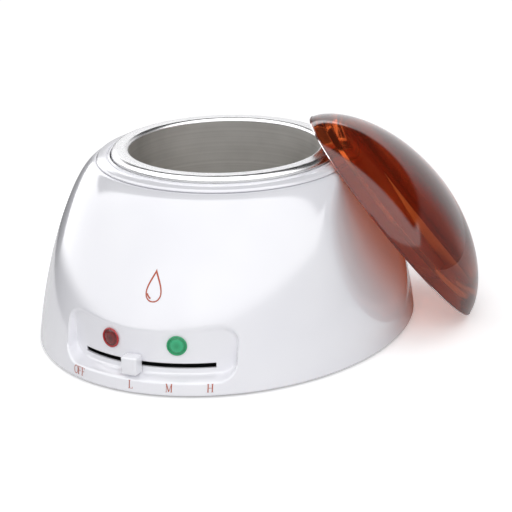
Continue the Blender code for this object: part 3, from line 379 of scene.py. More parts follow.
def panel_share(x, z):
    """How far the panel is pressed in at a point of the front: 0 outside, 1 on its floor."""
    dx = np.abs(x) - (PANEL_HALF - PANEL_CORNER)
    dz = np.abs(z - (PANEL_LOW + PANEL_HIGH) / 2) - ((PANEL_HIGH - PANEL_LOW) / 2 - PANEL_CORNER)
    away = np.hypot(np.maximum(dx, 0), np.maximum(dz, 0)) + np.minimum(np.maximum(dx, dz), 0) - PANEL_CORNER
    t = np.clip((1.8 - away) / 3.2, 0, 1)
    return t * t * (3 - 2 * t)


def pull_in(x, y, z, inset):
    """Move points of the plain dome to the scoops, the panel and the gland's flat."""
    x, y = x.copy(), y.copy()
    scoop = 337.4 - np.sqrt((274.0 + inset) ** 2 - (z - 136.0) ** 2)
    x = np.sign(x) * soft_least(np.abs(x), scoop, 2.4)
    front = y < 0
    reach = PANEL_R - 0.5 * inset
    floor = PIVOT_FORWARD + np.sqrt(np.maximum(reach ** 2 - np.minimum(np.abs(x), 60) ** 2, 0))
    depth = panel_share(x, z) * front
    pressed = -y * (1 - depth) + np.minimum(floor, -y) * depth
    y = np.where(front, -pressed, y)
    ring = np.hypot(x, z - GLAND_Z)
    flat = GLAND_FLAT - inset + np.maximum(ring - GLAND_R, 0) * 3
    y = np.where(~front & (ring < 20), soft_least(y, flat, 0.5), y)
    return x, y


print("half sizes at the foot", [round(float(v), 1) for v in half_sizes(SKIRT_Z)])

# %% [markdown]
# The grid is finer where the shape is. In front its columns keep to fixed distances from the
# middle, so that they run along the sides of the panel and the ends of the slot. Its rows
# keep to fixed heights, so that the slot's lips are straight.

# %% Grid lines
front_columns = np.unique(np.concatenate([np.arange(-50, 50.01, 0.55), [-SLOT_HALF, SLOT_HALF]]))
back_columns = np.arange(-12, 12.01, 0.8)
low_rows = np.unique(np.concatenate([np.arange(SKIRT_Z + 0.8, 42, 0.55), [SLOT_LOW, SLOT_LOW + 0.15,
                                                                          SLOT_HIGH - 0.15, SLOT_HIGH]]))
falls = np.linspace(0, 1, 46)
high_rows = SHOULDER_Z - (SHOULDER_Z - 42.3) * falls ** 2
outer_rows = np.concatenate([low_rows, high_rows[::-1]])
SIDE_COLUMNS = 150
print(len(front_columns), "front columns,", len(outer_rows), "rows")


def ring_of(z, inset):
    """One ring of the housing at a height: front, right side, back, left side."""
    half_width, half_depth = half_sizes(np.array(z))
    half_width, half_depth = half_width - inset, half_depth - inset
    front = np.arcsin(np.clip(front_columns / half_width, -1, 1))
    back = math.pi - np.arcsin(np.clip(back_columns[::-1] / half_width, -1, 1))
    right = np.linspace(front[-1], back[0], SIDE_COLUMNS + 2)[1:-1]
    left = np.linspace(back[-1], front[0] + 2 * math.pi, SIDE_COLUMNS + 2)[1:-1]
    turn = np.concatenate([front, right, back, left])
    x, y = half_width * np.sin(turn), -half_depth * np.cos(turn)
    level = np.full_like(x, z)
    x, y = pull_in(x, y, level, inset)
    return np.stack([x, y, level], 1)


# %% [markdown]
# The wall is a closed skin: the outside, a rounded foot, the inside one wall thickness in,
# and the underside of the shoulder back to the opening. The slot is left open through both
# skins, with its lips joined, so the lever really passes through it.

# %% The housing
rings, slot_rows = [], {}
OPENING_R, FOOT_ROUND = 60.4, 0.8
shoulder = ring_of(SHOULDER_Z, 0)
for share, z in ((0.0, SHOULDER_Z - 3.0), (0.0, SHOULDER_Z - 0.3), (0.06, SHOULDER_Z), (0.6, SHOULDER_Z)):
    ring = shoulder.copy()
    scale = (OPENING_R + (SHOULDER_R - OPENING_R) * share) / SHOULDER_R
    ring[:, :2] *= scale
    ring[:, 2] = z
    rings.append(ring)
for z in outer_rows[::-1]:
    slot_rows.setdefault(round(float(z), 3), []).append(len(rings))
    rings.append(ring_of(z, 0))
for angle in (20, 45, 70, 90):
    turn = math.radians(angle)
    ring = ring_of(SKIRT_Z + FOOT_ROUND, FOOT_ROUND * (1 - math.cos(turn)))
    ring[:, 2] = SKIRT_Z + FOOT_ROUND * (1 - math.sin(turn))
    rings.append(ring)
ring = ring_of(SKIRT_Z + FOOT_ROUND, WALL)
ring[:, 2] = SKIRT_Z
rings.append(ring)
inner_rows = np.unique(np.concatenate([[3, 6], np.arange(8, 36, 2.0),
                                       low_rows[(low_rows >= SLOT_LOW) & (low_rows <= SLOT_HIGH)],
                                       [40, 46, 52, 58, 64, 70, 75, 79, 82, SHOULDER_Z - 3.05]]))
between = (inner_rows > SLOT_LOW) & (inner_rows < SLOT_HIGH)
inner_rows = inner_rows[~(between & ~np.isin(inner_rows, low_rows))]
for z in inner_rows:
    slot_rows.setdefault(round(float(z), 3), []).append(len(rings))
    ring = ring_of(z, WALL)
    rings.append(ring)
columns = len(rings[0])
verts = np.concatenate(rings)
first, last = int(np.argmin(abs(front_columns + SLOT_HALF))), int(np.argmin(abs(front_columns - SLOT_HALF)))


def in_slot(row, column):
    """Whether the quad below this grid point lies in the slot."""
    z = (rings[row][0, 2] + rings[(row + 1) % len(rings)][0, 2]) / 2
    wall = 4 <= row < 4 + len(outer_rows) or row > len(rings) - len(inner_rows) - 1
    return wall and SLOT_LOW < z < SLOT_HIGH and first <= column < last


faces = []
for row in range(len(rings)):
    under = (row + 1) % len(rings)
    for column in range(columns):
        beside = (column + 1) % columns
        if not in_slot(row, column):
            faces.append((row * columns + column, row * columns + beside, under * columns + beside,
                          under * columns + column))
slot_heights = sorted(z for z, both in slot_rows.items()
                      if SLOT_LOW - 1e-3 <= z <= SLOT_HIGH + 1e-3 and len(both) == 2)
bottom, top = slot_rows[slot_heights[0]], slot_rows[slot_heights[-1]]
for pair in (bottom, top):
    for column in range(first, last):
        faces.append(tuple(r * columns + c for r, c in ((pair[0], column), (pair[0], column + 1),
                                                        (pair[1], column + 1), (pair[1], column))))
for low, high in zip(slot_heights, slot_heights[1:]):
    for column in (first, last):
        corner = [(slot_rows[low][0], column), (slot_rows[high][0], column), (slot_rows[high][1], column),
                  (slot_rows[low][1], column)]
        faces.append(tuple(r * columns + c for r, c in corner))
housing = make_piece("housing_skin", verts.tolist(), faces, [white_abs], "base", ["housing_shell"],
                     sharp=50)
edges = {}
for face in housing.data.polygons:
    for key in face.edge_keys:
        edges[key] = edges.get(key, 0) + 1
print("open edges", sum(1 for n in edges.values() if n != 2), "of", len(edges))

# %% [markdown]
# The collar is a separate white ring that snaps round the opening: a crowned face outside, a
# hairline groove, and a raised lip close to the pot. Its section is a closed loop, so turning
# it needs no poles.

# %% The collar
seat = SHOULDER_Z + 0.3
collar_section = rounded([
    (58.2, 84.9, 0.2), (59.9, 84.9, 0.2), (59.9, seat, 0.1), (65.2, seat, 0.2), (65.2, seat + 0.6, 0.3),
    (64.4, seat + 1.4, 1.0), (62.0, 89.75, 1.2), (60.3, 90.0, 0.3), (60.0, 89.35, 0.2), (59.7, 89.35, 0.2),
    (59.4, 90.3, 0.35), (58.9, 90.5, 0.3), (58.2, 90.5, 0.35)], closed=True)
verts, faces = spin(collar_section, 224)
make_piece("collar", verts, faces, [white_abs], "base", ["collar_ring"], sharp=50)

# %% [markdown]
# The pot's edge is rolled out and down into a broad bead, which is how spun ware gets a safe,
# stiff edge to lift it by. The bead is burnished brighter than the blasted wall inside it.

# %% The pot
BORE, BEAD_OUT, POT_FLOOR = 48.7, 57.5, 33.5
pot_section = rounded([
    (0, POT_FLOOR, 0), (BORE, POT_FLOOR, 4.0), (BORE, RIM_Z, 1.8), (BEAD_OUT, RIM_Z, 2.6),
    (BEAD_OUT, RIM_Z - 6.4, 0.7),
    (BEAD_OUT - 1.7, RIM_Z - 6.4, 0.5), (BEAD_OUT - 1.5, RIM_Z - 1.5, 3.0), (BORE + 1.3, RIM_Z - 1.5, 2.4),
    (BORE + 1.3, POT_FLOOR - 1.3, 4.6), (0, POT_FLOOR - 1.3, 0)], steps=9)
verts, faces = spin(pot_section, 224)
make_piece("pot", verts, faces, [pot_wall, pot_rim], "pot", ["wax_pot"],
           chooser=lambda c: 1 if c.z > RIM_Z - 3.4 or math.hypot(c.x, c.y) > BORE + 2.5 else 0)

# %% [markdown]
# The lid is a shallow cap. A step inside its edge drops over the pot's bead and centres it.
# Here it leans: its rim stands on the table, and its mouth reaches over the shoulder. It is
# turned about its own axis first, and then laid along the direction of its joint.

# %% The lid
LID_R, LID_RISE, LID_WALL, LID_STEP = 65.0, 32.8, 2.4, 55.5


def lid_top(r):
    """Height of the lid's outside above its rim."""
    return LID_RISE * max(1 - (r / LID_R) ** 2, 0) ** 0.645


lid_joint = [j for j in frame["joints"] if j["child"] == "lid"][0]
lean = Vector(lid_joint["axis"]).normalized()
outside = [(LID_R * math.sin(math.radians(a)),
            lid_top(LID_R * math.sin(math.radians(a)))) for a in np.linspace(0, 88.5, 60)]
floor = lid_top(LID_STEP) - 1.6 * LID_WALL
inside = [(LID_STEP * s, floor + (LID_RISE - LID_WALL - floor) * (1 - s * s) ** 0.62)
          for s in np.sin(np.radians(np.linspace(88, 0, 44)))]
edge = rounded([(LID_R, 1.2, 0), (LID_R, 0, 0.7), (LID_R - LID_WALL, 0, 0.7), (LID_R - LID_WALL, 6.0, 0.5),
                (LID_STEP, 6.0, 0.5), (LID_STEP, floor, 0)], steps=4)
verts, faces = spin(outside + edge + inside, 192)
cad_lid = np.array([v.co for v in frame["nodes"]["lid"].data.vertices])
along = cad_lid @ np.array(lean)
rim_points = cad_lid[along < along.min() + 1e-5]
middle = Vector(((rim_points[:, 0].min() + rim_points[:, 0].max()) / 2,
                 (rim_points[:, 1].min() + rim_points[:, 1].max()) / 2,
                 (rim_points[:, 2].min() + rim_points[:, 2].max()) / 2))
leaning = Matrix.Translation(middle) @ lean.to_track_quat("Z", "Y").to_matrix().to_4x4()
make_piece("lid_shell", verts, faces, [amber], "lid", ["lid"], place=leaning)
print("lid's rim centre", [round(v, 4) for v in middle])

# %% [markdown]
# The knob is a small white block, pushed on the end of the lever. Moulded blocks taper a
# little so that they leave the tool, and their edges are rounded by about a millimetre. A
# cube is tapered, then bevelled.

# %% The knob
KNOB_SIZE, KNOB_TAPER, KNOB_ROUND = (8.8, 6.5, 9.5), 0.96, 1.2
slider_joint = [j for j in frame["joints"] if j["child"] == "slider"][0]
pivot = Vector(slider_joint["pos_m"])
knob_low, knob_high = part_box("slider_knob")
knob_middle = (knob_low + knob_high) / 2
facing = math.atan2(knob_middle.x - pivot.x, -(knob_middle.y - pivot.y))
shape = bmesh.new()
bmesh.ops.create_cube(shape, size=1.0)
for vert in shape.verts:
    taper = KNOB_TAPER if vert.co.y < 0 else 1.0
    vert.co = Vector((vert.co.x * KNOB_SIZE[0] * taper, vert.co.y * KNOB_SIZE[1],
                      vert.co.z * KNOB_SIZE[2] * taper))
bmesh.ops.bevel(shape, geom=shape.edges[:], offset=KNOB_ROUND, segments=5, profile=0.5, affect="EDGES")
index = {vert: i for i, vert in enumerate(shape.verts)}
verts = [tuple(vert.co) for vert in shape.verts]
faces = [tuple(index[vert] for vert in face.verts) for face in shape.faces]
shape.free()
upright = Matrix.Translation(knob_middle) @ Matrix.Rotation(facing, 4, "Z")
make_piece("knob", verts, faces, [white_abs], "slider", ["slider_knob"], place=upright,
           sharp=60)

# %% [markdown]
# Each lens snaps into the panel from in front. It has a raised rim, a hairline valley and a
# low crown, and a barrel behind the panel that faces its lamp.

# %% The indicator lenses
LENS_Z, LENS_TURN = 24.3, 15.0
lens_section = rounded([
    (0, 1.15, 0), (2.6, 1.0, 3.0), (3.9, 0.55, 0.4), (4.15, 0.40, 0.15), (4.3, 0.95, 0.2), (4.8, 0.95, 0.3),
    (5.0, 0.3, 0.1), (4.4, 0.3, 0.1), (4.4, -5.0, 0.3), (0, -5.0, 0)], steps=4)
verts, faces = spin(lens_section, 72)
for side, word, tones in ((-1, "red", ("#470806", "#7A0D0A", "#B01018")),
                          (1, "green", ("#14905C", "#2FB27C", "#149A62"))):
    turn = math.radians(LENS_TURN * side)
    out = Vector((math.sin(turn), -math.cos(turn), 0))
    spot = Vector((pivot.x, pivot.y, LENS_Z * MM)) + out * PANEL_R * MM
    laid = Matrix.Translation(spot) @ Matrix.Rotation(turn, 4, "Z") @ Matrix.Rotation(math.radians(90), 4,
                                                                                      "X")
    finish = lens_finish(f"{word}_acrylic", spot + out * 0.8 * MM, *tones)
    make_piece(f"{word}_indicator", verts, faces, [finish], "base", [f"{word}_lens"], place=laid)

# %% [markdown]
# The cord gland at the back is a flanged bush. Its face is ribbed, which is a job for Geometry
# Nodes: one rib is copied round a circle. The tree takes the circle's size, the number of ribs
# and the finish as named inputs, and ends as plain mesh.

# %% A tree that repeats a piece
def repeat_tree(name, sockets):
    """A geometry tree with these named inputs and a geometry output; returns it and its input node."""
    tree = bpy.data.node_groups.new(name, "GeometryNodeTree")
    tree.interface.new_socket("Geometry", in_out="OUTPUT", socket_type="NodeSocketGeometry")
    for label, kind in sockets:
        tree.interface.new_socket(label, in_out="INPUT", socket_type=kind)
    return tree, tree.nodes.new("NodeGroupInput")


def end_tree(tree, geometry, finish_socket):
    """Realize the copies, give them their finish, and send them out."""
    real = add_node(tree, "GeometryNodeRealizeInstances", wires={"Geometry": geometry})
    dressed = add_node(tree, "GeometryNodeSetMaterial", wires={"Geometry": real.outputs["Geometry"],
                                                               "Material": finish_socket})
    out = tree.nodes.new("NodeGroupOutput")
    tree.links.new(dressed.outputs["Geometry"], out.inputs["Geometry"])


def grow(name, tree, values, body, stands_for=(), place=None, sharp=40):
    """Run a tree on an empty mesh, keep the result as a plain mesh, and let it ride."""
    holder = bpy.data.objects.new(name + "_tree", bpy.data.meshes.new(name))
    bpy.context.scene.collection.objects.link(holder)
    step = holder.modifiers.new("copies", "NODES")
    step.node_group = tree
    for item in tree.interface.items_tree:
        if item.in_out == "INPUT" and item.name in values:
            step[item.identifier] = values[item.name]
    seen = holder.evaluated_get(bpy.context.evaluated_depsgraph_get())
    mesh = bpy.data.meshes.new_from_object(seen)
    bpy.data.objects.remove(holder)
    mesh.name = name
    if place is not None:
        mesh.transform(place)
    mesh.shade_smooth()
    mesh.set_sharp_from_angle(angle=math.radians(sharp))
    item = bpy.data.objects.new(name, mesh)
    bpy.context.scene.collection.objects.link(item)
    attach(item, body)
    if stands_for:
        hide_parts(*stands_for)
    print(name, len(mesh.polygons), "faces")
    return item


# %% The gland and its ribs
behind = Matrix.Translation((AXIS.x, AXIS.y, GLAND_Z * MM)) @ Matrix.Rotation(math.radians(-90), 4, "X")
flange = 108.7
gland_section = rounded([
    (3.4, 96.7, 0.2), (5.6, 96.7, 0.3), (5.6, flange, 0.2), (8.0, flange, 0.2), (8.0, flange + 1.7, 0.9),
    (5.6, flange + 2.0, 0.3), (5.2, flange + 2.6, 0.4), (4.2, flange + 2.6, 0.4), (3.4, flange + 1.8, 0.4)],
    closed=True)
verts, faces = spin(gland_section, 96)
make_piece("gland", verts, faces, [white_abs], "base", ["cord_gland"], place=behind)

tree, given = repeat_tree("ribs_round_a_bush", [("Circle", "NodeSocketFloat"), ("Ribs", "NodeSocketInt"),
                                                ("Rib Size", "NodeSocketVector"),
                                                ("Finish", "NodeSocketMaterial")])
circle = add_node(tree, "GeometryNodeMeshCircle", wires={"Vertices": given.outputs["Ribs"],
                                                         "Radius": given.outputs["Circle"]})
spot = add_node(tree, "GeometryNodeInputPosition")
facing_out = add_node(tree, "FunctionNodeAlignRotationToVector", {"axis": "X"},
                      wires={"Vector": spot.outputs["Position"]})
rib = add_node(tree, "GeometryNodeMeshCube", wires={"Size": given.outputs["Rib Size"]})
copies = add_node(tree, "GeometryNodeInstanceOnPoints", wires={"Points": circle.outputs["Mesh"],
                                                               "Instance": rib.outputs["Mesh"],
                                                              "Rotation": facing_out.outputs["Rotation"]})
end_tree(tree, copies.outputs["Instances"], given.outputs["Finish"])
grow("gland_ribs", tree, {"Circle": 6.75 * MM, "Ribs": 18, "Rib Size": (1.5 * MM, 0.5 * MM, 0.7 * MM),
                          "Finish": white_abs},
     "base", place=behind @ Matrix.Translation((0, 0, (flange + 1.85) * MM)))

# %% [markdown]
# Four rubber feet stand under the corners, each held by a screw up through it. The same piece
# four times on a rectangle is a small tree: a two by two grid gives the places. A foot has a
# rounded tread and a counterbore, and the screw's head sits inside it with a ring groove in its face.

# %% Feet and screws
foot_low, foot_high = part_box("foot_1")
far_low, far_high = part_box("foot_4")
foot_pitch = ((far_low + far_high) - (foot_low + foot_high)) / 2
foot_centre = ((far_low + far_high) + (foot_low + foot_high)) / 4


def corner_tree(name):
    """A tree that sets one piece on the four corners of a rectangle."""
    tree, given = repeat_tree(name, [("Across", "NodeSocketFloat"), ("Along", "NodeSocketFloat"),
                                     ("Piece", "NodeSocketObject"), ("Finish", "NodeSocketMaterial")])
    grid = add_node(tree, "GeometryNodeMeshGrid", {}, {"Vertices X": 2, "Vertices Y": 2},
                    {"Size X": given.outputs["Across"], "Size Y": given.outputs["Along"]})
    piece = add_node(tree, "GeometryNodeObjectInfo", wires={"Object": given.outputs["Piece"]})
    copies = add_node(tree, "GeometryNodeInstanceOnPoints", wires={"Points": grid.outputs["Mesh"],
                                                                   "Instance": piece.outputs["Geometry"]})
    end_tree(tree, copies.outputs["Instances"], given.outputs["Finish"])
    return tree


def pattern_of(name, section, segments):
    """A turned pattern piece for a tree to copy. It is removed after use."""
    verts, faces = spin(section, segments)
    mesh = bpy.data.meshes.new(name)
    mesh.from_pydata([tuple(c * MM for c in v) for v in verts], [], faces)
    shape = bmesh.new()
    shape.from_mesh(mesh)
    bmesh.ops.recalc_face_normals(shape, faces=shape.faces)
    shape.to_mesh(mesh)
    shape.free()
    item = bpy.data.objects.new(name, mesh)
    bpy.context.scene.collection.objects.link(item)
    return item


foot_section = rounded([(3.5, 0, 0.3), (4.8, 0, 0.1), (5.0, 0.35, 0.1), (5.4, 0.35, 0.1), (5.6, 0, 0.1),
                        (7.0, 0, 0.6), (7.5, 4.0, 0.2),
                        (1.8, 4.0, 0.1), (1.8, 2.4, 0.1), (3.5, 2.4, 0.1)], closed=True)
foot_pattern = pattern_of("foot_pattern", foot_section, 48)
screw_section = rounded([(0, 0.55, 0), (0.9, 0.55, 0.1), (1.0, 0.95, 0.1), (1.5, 0.6, 0.2), (2.6, 0.7, 0.6),
                         (3.0, 1.4, 0.3), (3.0, 2.1, 0.1),
                         (1.5, 2.1, 0.1), (1.5, 16.4, 0.3), (0, 16.4, 0)])
screw_pattern = pattern_of("screw_pattern", screw_section, 32)
corners = corner_tree("one_at_each_corner")
under = Matrix.Translation((foot_centre.x, foot_centre.y, 0))
size = {"Across": abs(foot_pitch.x), "Along": abs(foot_pitch.y)}
grow("rubber_feet", corners, {**size, "Piece": foot_pattern, "Finish": WORKING["rubber"]}, "base",
     [f"foot_{n}" for n in range(1, 5)], under)
grow("foot_screws", corners, {**size, "Piece": screw_pattern, "Finish": WORKING["zinc_steel"]}, "base",
     [f"base_screw_{n}" for n in range(1, 5)], under)
for pattern in (foot_pattern, screw_pattern):
    bpy.data.objects.remove(pattern)

# %% [markdown]
# The scale and a small drop are pad printed in red-brown ink, about 0.05 mm thick. Printing
# wraps over the dome, so each flat shape is drawn in front of the housing and every point is
# laid on the same rule as the wall, a hair outside it.

# %% Printed marks
ink, tree, shader = new_finish("pad_printed_ink", {"IOR": 1.5, "Roughness": 0.4})
grain = noise_on_object(tree, 0.35, 2.0)
tint = stops(add_node(tree, "ShaderNodeValToRGB", wires={"Fac": grain.outputs["Fac"]}),
             [(0.35, linear("#A8482E")), (0.65, linear("#B9583A"))])
tree.links.new(tint.outputs["Color"], shader.inputs["Base Color"])


def wrap_on_dome(mesh, lift=0.12):
    """Lay a flat mesh drawn in x and z, in millimetres, on the front of the dome."""
    for vert in mesh.vertices:
        half_width, half_depth = half_sizes(np.array(vert.co.z))
        vert.co.y = -half_depth * math.sqrt(max(1 - (vert.co.x / half_width) ** 2, 0)) - lift


def print_mark(name, mesh):
    """Finish a printed mark and let it ride on the fixed body."""
    wrap_on_dome(mesh)
    mesh.transform(Matrix.Translation(AXIS) @ Matrix.Scale(MM, 4))
    shape = bmesh.new()
    shape.from_mesh(mesh)
    for face in shape.faces:
        face.normal_update()
        if face.normal.y > 0:
            face.normal_flip()
    shape.to_mesh(mesh)
    shape.free()
    mesh.materials.clear()
    mesh.materials.append(ink)
    item = bpy.data.objects.new(name, mesh)
    bpy.context.scene.collection.objects.link(item)
    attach(item, "base")
    return item


# Each letter is a few bars on a 4 by 6 grid: (x, z, x, z, thickness), with thin serifs.
LETTERS = {
    "L": [(1, 0, 1, 6, .7), (.2, 5.9, 1.8, 5.9, .25), (.2, .1, 3.6, .1, .25), (3.5, 0, 3.5, 1.3, .3)],
    "M": [(.7, 0, .7, 6, .35), (.7, 5.8, 2.5, .2, .7), (2.5, .2, 4.3, 5.8, .35), (4.3, 0, 4.3, 6, .7),
          (0, .1, 1.4, .1, .25),
          (3.6, .1, 5, .1, .25), (0, 5.9, 1.2, 5.9, .25), (3.9, 5.9, 5, 5.9, .25)],
    "H": [(.9, 0, .9, 6, .7), (3.7, 0, 3.7, 6, .7), (.9, 3, 3.7, 3, .3), (.2, .1, 1.6, .1, .25),
          (3, .1, 4.4, .1, .25),
          (.2, 5.9, 1.6, 5.9, .25), (3, 5.9, 4.4, 5.9, .25)],
    "F": [(.9, 0, .9, 6, .7), (.2, 5.9, 3.4, 5.9, .25), (3.3, 4.8, 3.3, 6, .3), (.9, 3.1, 2.6, 3.1, .3),
          (2.6, 2.5, 2.6, 3.7, .25),
          (.2, .1, 1.6, .1, .25)],
    "O": [(2 + 1.8 * math.sin(t / 10 * math.pi), 3 + 2.9 * math.cos(t / 10 * math.pi),
           2 + 1.8 * math.sin((t + 1) / 10 * math.pi), 3 + 2.9 * math.cos((t + 1) / 10 * math.pi),
           .55) for t in range(20)],
}


def letter_bars(letter, left, base, size):
    """Corners and faces of one letter's bars, in millimetres."""
    corners, quads = [], []
    for x0, z0, x1, z1, thick in LETTERS[letter]:
        run = Vector((x1 - x0, z1 - z0)).normalized()
        side = Vector((-run.y, run.x)) * thick / 2
        quads.append(tuple(len(corners) + k for k in range(4)))
        corners += [(left + size * x, 0, base + size * z) for x, z in (
            (x0 + side.x, z0 + side.y), (x1 + side.x, z1 + side.y), (x1 - side.x, z1 - side.y),
            (x0 - side.x, z0 - side.y))]
    return corners, quads


for word, x in (("OFF", -34.6), ("L", -3.6), ("M", 15.4), ("H", 34.2)):
    corners, quads = [], []
    for k, letter in enumerate(word):
        more, bars = letter_bars(letter, x - 1.4 + (k - (len(word) - 1) / 2) * 2.5, 3.3, 0.66)
        quads += [tuple(i + len(corners) for i in bar) for bar in bars]
        corners += more
    mesh = bpy.data.meshes.new("scale_" + word)
    mesh.from_pydata(corners, [], quads)
    print_mark("scale_" + word.lower(), mesh)


def drop_line(scale, steps=64):
    """Outline of a drop, point up, about its own middle."""
    turns = [2 * math.pi * k / steps for k in range(steps)]
    return [(scale * 4.6 * math.sin(t) * math.sin(t / 2) ** 1.5 * 1.25,
             scale * 7.4 * math.cos(t)) for t in turns]


outer, inner = drop_line(1.0), drop_line(0.84)
verts = [(4.0 + x, 0, 51.0 + z) for x, z in outer] + [(4.0 + x, 0, 50.4 + z) for x, z in inner]
steps = len(outer)
faces = [(k, (k + 1) % steps, steps + (k + 1) % steps, steps + k) for k in range(steps)]
arc_turns = [math.radians(200 + 50 * k / 14) for k in range(15)]
start = len(verts)
verts += [(4.0 + 3.6 * math.sin(t), 0, 48.6 + 3.9 * math.cos(t)) for t in arc_turns]
verts += [(4.0 + 2.9 * math.sin(t), 0, 48.6 + 3.2 * math.cos(t)) for t in arc_turns]
faces += [(start + k, start + k + 1, start + 16 + k, start + 15 + k) for k in range(14)]
mesh = bpy.data.meshes.new("drop_mark")
mesh.from_pydata(verts, [], faces)
print_mark("drop_mark", mesh)
print("printed marks ready")

# %% [markdown]
# The pieces whose exact shape is already right keep it, and take the finish of their record's
# material.

# %% Finishes for the rest
slots = {row["node"]: row["material_slot"] for row in frame["record"]["subparts"]}
for name, item in frame["nodes"].items():
    if not item.hide_render:
        item.data.materials.clear()
        item.data.materials.append(WORKING[slots[name]])
print("kept as they are:", sum(1 for item in frame["nodes"].values() if not item.hide_render))

# %% [markdown]
# Studio: a small white table, a white sky that is brightest overhead, and one soft lamp in
# front on the right. Gloss shows more than the light: it shows a bright tent above a line
# that is high on the right and low on the left, a grey wall below it on the right, and a dark
# room on the left. A black flag high at the back keeps the lid deep. Those shapes draw the
# soft edges on the dome, so the sky is painted twice, once for diffuse light and once for
# reflections. The camera sees plain white.

# %% Table, room and lights
TABLE_R, TABLE_BOUNCE, TABLE_LIFT = 0.44, 0.85, 0.30
TABLE_SHIFT = Vector((0.19, -0.06, 0))
TENT, SKY_LOW, SKY_HIGH, LAMP_W = 2.4, 0.30, 0.95, 9
TENT_EDGE = [(-179, 29), (-145, 15), (-121, -7), (-96, 0), (-77, 4), (-49, 9), (5, 17), (99, 15), (125, 29),
             (179, 29)]
LOW_WALL = [(-179, 1.0), (-156, 1.0), (-141, 0.1), (-60, 0.10), (-10, 0.7), (60, 0.8), (98, 0.7),
            (116, 0.32), (146, 0.35),
            (163, 0.9), (179, 1.0)]
table, tree, shader = new_finish("white_studio_sheet", {"Roughness": 0.9, "Specular IOR Level": 0.05})
paper = noise_on_object(tree, 60, 1.0)
tint = stops(add_node(tree, "ShaderNodeValToRGB", wires={"Fac": paper.outputs["Fac"]}),
             [(0.4, linear("#FAFAFA")), (0.6, linear("#FFFFFF"))])
dim = stops(add_node(tree, "ShaderNodeValToRGB", wires={"Fac": paper.outputs["Fac"]}),
            [(0.4, (TABLE_BOUNCE, TABLE_BOUNCE, TABLE_BOUNCE, 1))])
seen = add_node(tree, "ShaderNodeLightPath")
both = add_node(tree, "ShaderNodeMix", {"data_type": "RGBA"})
tree.links.new(seen.outputs["Is Camera Ray"], both.inputs[0])
tree.links.new(dim.outputs["Color"], both.inputs[6])
tree.links.new(tint.outputs["Color"], both.inputs[7])
tree.links.new(both.outputs[2], shader.inputs["Base Color"])
shader.inputs["Emission Color"].default_value = (1, 1, 1, 1)
lift = add_node(tree, "ShaderNodeMath", {"operation": "MULTIPLY"}, {1: TABLE_LIFT},
                {0: seen.outputs["Is Camera Ray"]})
tree.links.new(lift.outputs["Value"], shader.inputs["Emission Strength"])
mesh = bpy.data.meshes.new("studio_table")
middle = AXIS + TABLE_SHIFT
ring = [(middle.x + TABLE_R * math.cos(2 * math.pi * k / 96),
         middle.y + TABLE_R * math.sin(2 * math.pi * k / 96), 0)
        for k in range(96)]
mesh.from_pydata(ring, [], [tuple(range(96))])
mesh.materials.append(table)
sheet = bpy.data.objects.new("studio_table", mesh)
bpy.context.scene.collection.objects.link(sheet)

room = bpy.data.worlds.new("studio_room")
room.use_nodes = True
tree = room.node_tree
tree.nodes.clear()
where = add_node(tree, "ShaderNodeTexCoord")
split = add_node(tree, "ShaderNodeSeparateXYZ", wires={"Vector": where.outputs["Generated"]})
front = add_node(tree, "ShaderNodeMath", {"operation": "MULTIPLY"}, {1: -1.0}, {0: split.outputs["Y"]})
way = add_node(tree, "ShaderNodeMath", {"operation": "ARCTAN2"}, wires={0: split.outputs["X"],
                                                                        1: front.outputs["Value"]})
share = add_node(tree, "ShaderNodeMapRange", values={"From Min": -math.pi, "From Max": math.pi},
                 wires={"Value": way.outputs["Value"]})


def by_azimuth(marks):
    """A value that follows (azimuth in degrees, value) marks; -Y is 0 and +X is 90."""
    return stops(add_node(tree, "ShaderNodeValToRGB", wires={"Fac": share.outputs["Result"]}),
                 [((a + 180) / 360, (v, v, v, 1)) for a, v in marks])


tent_edge = by_azimuth([(a, 0.5 + math.sin(math.radians(e))) for a, e in TENT_EDGE])
low_wall = by_azimuth(LOW_WALL)
above = add_node(tree, "ShaderNodeMath", {"operation": "ADD"}, {1: 0.5}, {0: split.outputs["Z"]})
over = add_node(tree, "ShaderNodeMath", {"operation": "SUBTRACT"}, wires={0: above.outputs["Value"],
                                                                          1: tent_edge.outputs["Color"]})
tent = add_node(tree, "ShaderNodeMapRange", {"interpolation_type": "SMOOTHSTEP"}, {"From Min": -0.035,
                                                                                   "From Max": 0.035},
                {"Value": over.outputs["Value"]})
mirror = add_node(tree, "ShaderNodeMix", {"data_type": "FLOAT"}, {"B": TENT},
                  {"Factor": tent.outputs["Result"], "A": low_wall.outputs["Color"]})
behind_it = add_node(tree, "ShaderNodeMapRange", {"interpolation_type": "SMOOTHSTEP"}, {"From Min": 0.20,
                                                                                        "From Max": 0.30},
                     {"Value": split.outputs["Y"]})
high_up = add_node(tree, "ShaderNodeMapRange", {"interpolation_type": "SMOOTHSTEP"}, {"From Min": 0.40,
                                                                                      "From Max": 0.46},
                   {"Value": split.outputs["Z"]})
flag = add_node(tree, "ShaderNodeMath", {"operation": "MULTIPLY"}, wires={0: behind_it.outputs["Result"],
                                                                          1: high_up.outputs["Result"]})
flagged = add_node(tree, "ShaderNodeMix", {"data_type": "FLOAT"}, {"B": 0.03},
                   {"Factor": flag.outputs["Value"], "A": mirror.outputs["Result"]})
sky = add_node(tree, "ShaderNodeMapRange", values={"From Min": 0.0, "From Max": 1.0, "To Min": SKY_LOW,
                                                   "To Max": SKY_HIGH},
               wires={"Value": split.outputs["Z"]})
ray = add_node(tree, "ShaderNodeLightPath")
shown = add_node(tree, "ShaderNodeMix", {"data_type": "FLOAT"},
                 wires={"Factor": ray.outputs["Is Glossy Ray"], "A": sky.outputs["Result"],
                                                                      "B": flagged.outputs["Result"]})
